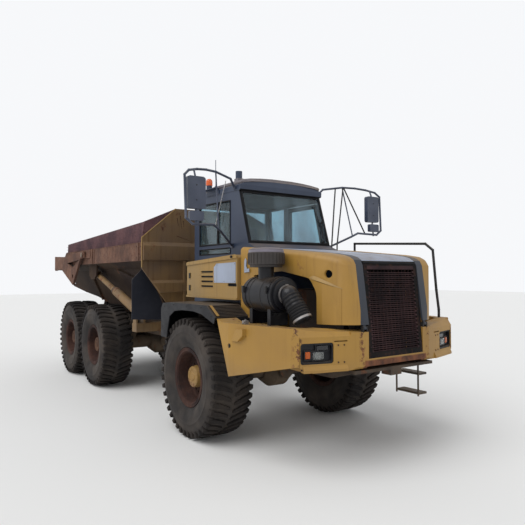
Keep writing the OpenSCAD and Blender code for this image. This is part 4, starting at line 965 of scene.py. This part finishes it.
def addAirCleanerFittings(axis, bands, ringX, hose, stack, finCount, cap):
    y, z = axis
    rings = bmesh.new()
    for x in ringX:
        addBand(rings, 0.199, 0.204, 0.010, 0.006, at(x, y, z), (1, 0, 0), 56)
    for ends in bands:
        x = sum(ends) / 2
        addBlock(rings, at(x - 0.02, y - 0.222, z + 0.02), at(x + 0.02, y - 0.195, z + 0.10))
    fitPiece("canisterBands", rings, "blackSteel", 0.002)
    clamps = bmesh.new()
    addBand(clamps, 0.1025, 0.108, 0.014, 0.014, at(1.842, y, z + 0.005), (1, 0, 0), 48)
    addBlock(clamps, at(1.834, y - 0.016, z + 0.108), at(1.850, y + 0.016, z + 0.120))
    ribs = bmesh.new()
    points = [at(*point) for point in hose]
    for start, end, ends in zip(points, points[1:], ((0.22, 0.98), (0.10, 0.66))):
        for step in range(4):
            share = ends[0] + (ends[1] - ends[0]) * step / 3
            addBand(ribs, 0.098, 0.1095, 0.016, 0.007, start.lerp(end, share), end - start, 40)
    fitPiece("hoseRibs", ribs, "softBlack")
    addBand(clamps, 0.1025, 0.108, 0.012, 0.012, points[1].lerp(points[2], 0.86), points[2] - points[1], 48)
    fitPiece("hoseClamps", clamps, "clampSteel", 0.001)
    top = bmesh.new()
    revolve(top, cap, at(stack, y, 2.436), (0, 0, 1), 64)
    fitPiece("stackCap", top, "capGrey")
    fins = bmesh.new()
    for place in ringPlaces(finCount, 0.2115, 0):
        fin = addBlock(fins, (-0.003, -0.006, 2.312), (0.003, 0.004, 2.432))
        turned = Matrix.Rotation(-math.atan2(place.x, place.z), 3, "Z")
        bmesh.ops.rotate(fins, verts=fin, cent=(0, 0, 0), matrix=turned)
        bmesh.ops.translate(fins, verts=fin, vec=at(stack + place.x, y + place.z, 0))
    fitPiece("stackFins", fins, "bowlBrown")


addAirCleanerFittings(**airCleaner)
print("air cleaner fitted")

fenders = {
    "ribCount": 8, "rampTop": (0.650, 1.802), "rampFoot": (0.856, 1.673), "inner": 1.030, "outer": 1.475,
    "strap": (1.427, 1.463), "rods": (0.98, 1.42), "boltFace": 1.499,
    "bolts": [(-0.69, 1.45), (-0.60, 1.74), (-0.30, 1.775), (0.10, 1.775), (0.50, 1.775), (0.76, 1.675)],
}


def addFenderFittings(side, ribCount, rampTop, rampFoot, inner, outer, strap, rods, boltFace, bolts):
    name = sideNames[side]
    fall = Vector((rampFoot[0] - rampTop[0], 0, rampFoot[1] - rampTop[1]))
    along = fall.normalized()
    place = axes(at(rampTop[0], 0, rampTop[1]), along, (0, 1, 0), along.cross(Vector((0, 1, 0))))
    middles = [fall.length * (step + 0.5) / ribCount for step in range(ribCount)]
    drawPiece("rampRibs" + name, "blackPlastic", 0.002, place=place, blocks=[
        ((x - 0.006, side * inner, 0.000), (x + 0.006, side * outer, 0.007)) for x in middles])
    near, far = sorted(side * y for y in strap)
    drawPiece("rampStrap" + name, "ochre", 0.002, place=place, blocks=[
        ((0.010, near, 0.0065), (fall.length - 0.01, far, 0.013))])
    drawPiece("flapRods" + name, "rustyBrown", bars=[
        (at(x, side * y, low), at(endX, side * y, high), 0.007, 10) for y in rods
        for x, low, endX, high in ((-0.728, 1.300, -0.728, 1.690), (-0.722, 1.690, -0.690, 1.765))] + [
        (at(-0.728, side * rods[0], 1.36), at(-0.728, side * rods[1], 1.36), 0.007, 10)])
    drawPiece("fenderBolts" + name, "blackSteel",
              bolts=([at(x, side * boltFace, z) for x, z in bolts], (0, 1, 0), 0.010, 0.005))


for side in (-1, 1):
    addFenderFittings(side, **fenders)
print("fenders fitted")

mirrors = {
    "heads": [(0.4795, 1.462, 1.690, 3.034, 3.418),   # x, inner, outer, low, high
              (0.5115, 1.498, 1.673, 2.879, 2.977)],
    "screws": [(0.551, 1.580, 3.32), (0.551, 1.580, 3.13)],
}


def addMirrorGlass(side, heads, screws):
    drawPiece("mirrorGlass" + sideNames[side], "mirrorGlass", 0.002, blocks=[
        (at(x - 0.003, side * inner, low), at(x + 0.002, side * outer, high))
        for x, inner, outer, low, high in heads])
    drawPiece("mirrorScrews" + sideNames[side], "blackSteel",
              bolts=([at(x, side * y, z) for x, y, z in screws], (1, 0, 0), 0.009, 0.003))


for side in (-1, 1):
    addMirrorGlass(side, **mirrors)

grabTubes = {
    "grabTubeInner": [(0.245, 1.045, 3.552), (0.330, 0.940, 3.260), (0.500, 0.728, 2.600)],
    "grabTubeOuter": [(0.295, 1.165, 3.566), (0.350, 1.067, 3.253), (0.500, 0.840, 2.640), (0.500, 0.836, 1.800)],
    "grabTubeBrace": [(0.300, 1.175, 3.566), (0.404, 1.303, 3.200), (0.508, 1.430, 2.835)],
}
for name, path in grabTubes.items():
    bentTube(name, [at(*point) for point in path], 0.011, "blackSteel", "front_frame")
print("mirrors and grab tubes fitted")

bodyMarks = {
    "edgeFace": -1.834, "scratchFace": -1.831,
    "edge": [(1.351, 2.320), (1.351, 2.818), (0.742, 3.328)],
    "scratches": [((-0.655, 3.214), (-0.625, 2.990)), ((-0.715, 3.175), (-0.690, 3.038)),
                  ((-0.600, 3.130), (-0.590, 3.020)), ((-0.722, 2.864), (-0.473, 2.787))],
}


def addBodyMarks(edgeFace, scratchFace, edge, scratches):
    # a bead along the front wall's edge in the paler box ochre: painted highlight on the edge
    drawPiece("wallEdgeHighlight", "boxOchre", body="bed", bars=[
        (at(edgeFace, side * y, z), at(edgeFace, side * nextY, nextZ), 0.010, 10)
        for side in (-1, 1) for (y, z), (nextY, nextZ) in zip(edge, edge[1:])])
    drawPiece("wallScratches", "rustyBrown", body="bed", bars=[
        (at(scratchFace, *start), at(scratchFace, *end), 0.007, 8, 0.003) for start, end in scratches])


addBodyMarks(**bodyMarks)

panelMarks = {
    "patch": [(0.745, 2.215), (0.865, 2.222), (0.862, 2.268), (0.812, 2.262), (0.792, 2.305), (0.802, 2.372),
              (0.772, 2.402), (0.748, 2.360)],
    "patchFace": 1.000, "holeShade": (1.143, 1.360), "holeShadeFace": 1.4675, "latch": (1.376, 1.668), "latchFace": 1.395,
    "ring": [(0.0, 0.001), (0.018, 0.001), (0.021, 0.005), (0.025, 0.003), (0.026, -0.002), (0.0, -0.002)],
}


def addPanelMarks(patch, patchFace, holeShade, holeShadeFace, latch, latchFace, ring):
    flake = bmesh.new()
    addSheet(flake, [(x, z, 0.0002) for x, z in patch], (0, 0, 0.0008))
    fitPiece("flakedPatch", flake, "dirtyWhite", body="bonnet", place=sidePlace(-1, patchFace))
    # a thin black disc on the bumper flank, where there is a hole: painted shade in the hole
    holeShadeDisc = bmesh.new()
    revolve(holeShadeDisc, ring, (*holeShade, 0), (0, 0, 1), 32)
    fitPiece("flankHoleShade", holeShadeDisc, "softBlack", place=sidePlace(-1, holeShadeFace))
    x, z = latch
    drawPiece("coverLatch", "clampSteel", 0.001, place=sidePlace(-1, latchFace),
              blocks=[((x - 0.045, z - 0.050, -0.040), (x + 0.020, z - 0.005, 0.012))],
              bars=[((x - 0.030, z - 0.040, 0.016), (x + 0.040, z + 0.006, 0.016), 0.011, 14),
                    ((x + 0.005, z - 0.048, 0.008), (x + 0.005, z - 0.008, 0.030), 0.009, 12)],
              bolts=([(x - 0.030, z - 0.020, 0.013), (x + 0.010, z - 0.036, 0.013)], (0, 0, 1), 0.008, 0.004))


addPanelMarks(**panelMarks)
print("marks and patches added")

bed = {
    "pin": (-4.950, 1.4555, 2.630), "posts": (-1.95, -4.50), "railTop": 2.731,
    "weldFace": 1.349, "topWeldFace": 1.347, "boltFace": 1.3675, "seamFace": 1.352,
    "cap": [(0.0, 0.010), (0.044, 0.010), (0.052, 0.004), (0.052, 0.0), (0.0, 0.0)],
}


def addBedFittings(side, pin, posts, railTop, weldFace, topWeldFace, boltFace, seamFace, cap):
    name = sideNames[side]
    pinX, pinY, pinZ = pin
    drawPiece("railWelds" + name, "rustyRail", body="bed", bars=[
        (at(x + edge, side * weldFace, 2.44), at(x + edge, side * weldFace, 2.72), 0.006, 8)
        for x in posts for edge in (-0.121, 0.121)] + [
        (at(-1.86, side * topWeldFace, railTop), at(-6.55, side * topWeldFace, railTop), 0.006, 8)])
    caps = bmesh.new()
    revolve(caps, cap, at(pinX, side * pinY, pinZ), (0, side, 0), 36)
    fitPiece("gatePinCap" + name, caps, "wornSteel", 0.001, "bed")
    places = [at(x + edge, side * boltFace, z) for x in posts for edge in (0.08, -0.08) for z in (2.49, 2.67)]
    drawPiece("postBolts" + name, "rustyRail", 0.001, "bed", bolts=(places, (0, 1, 0), 0.013, 0.006))
    drawPiece("boardSeams" + name, "rustyPlate", body="bed", bars=[
        (at(-1.87, side * seamFace, 2.73 + 0.35 * share), at(-6.52, side * seamFace, 2.73 + 0.20 * share), 0.003, 6)
        for share in (0.33, 0.66)])


for side in (-1, 1):
    addBedFittings(side, **bed)
print("body fitted")
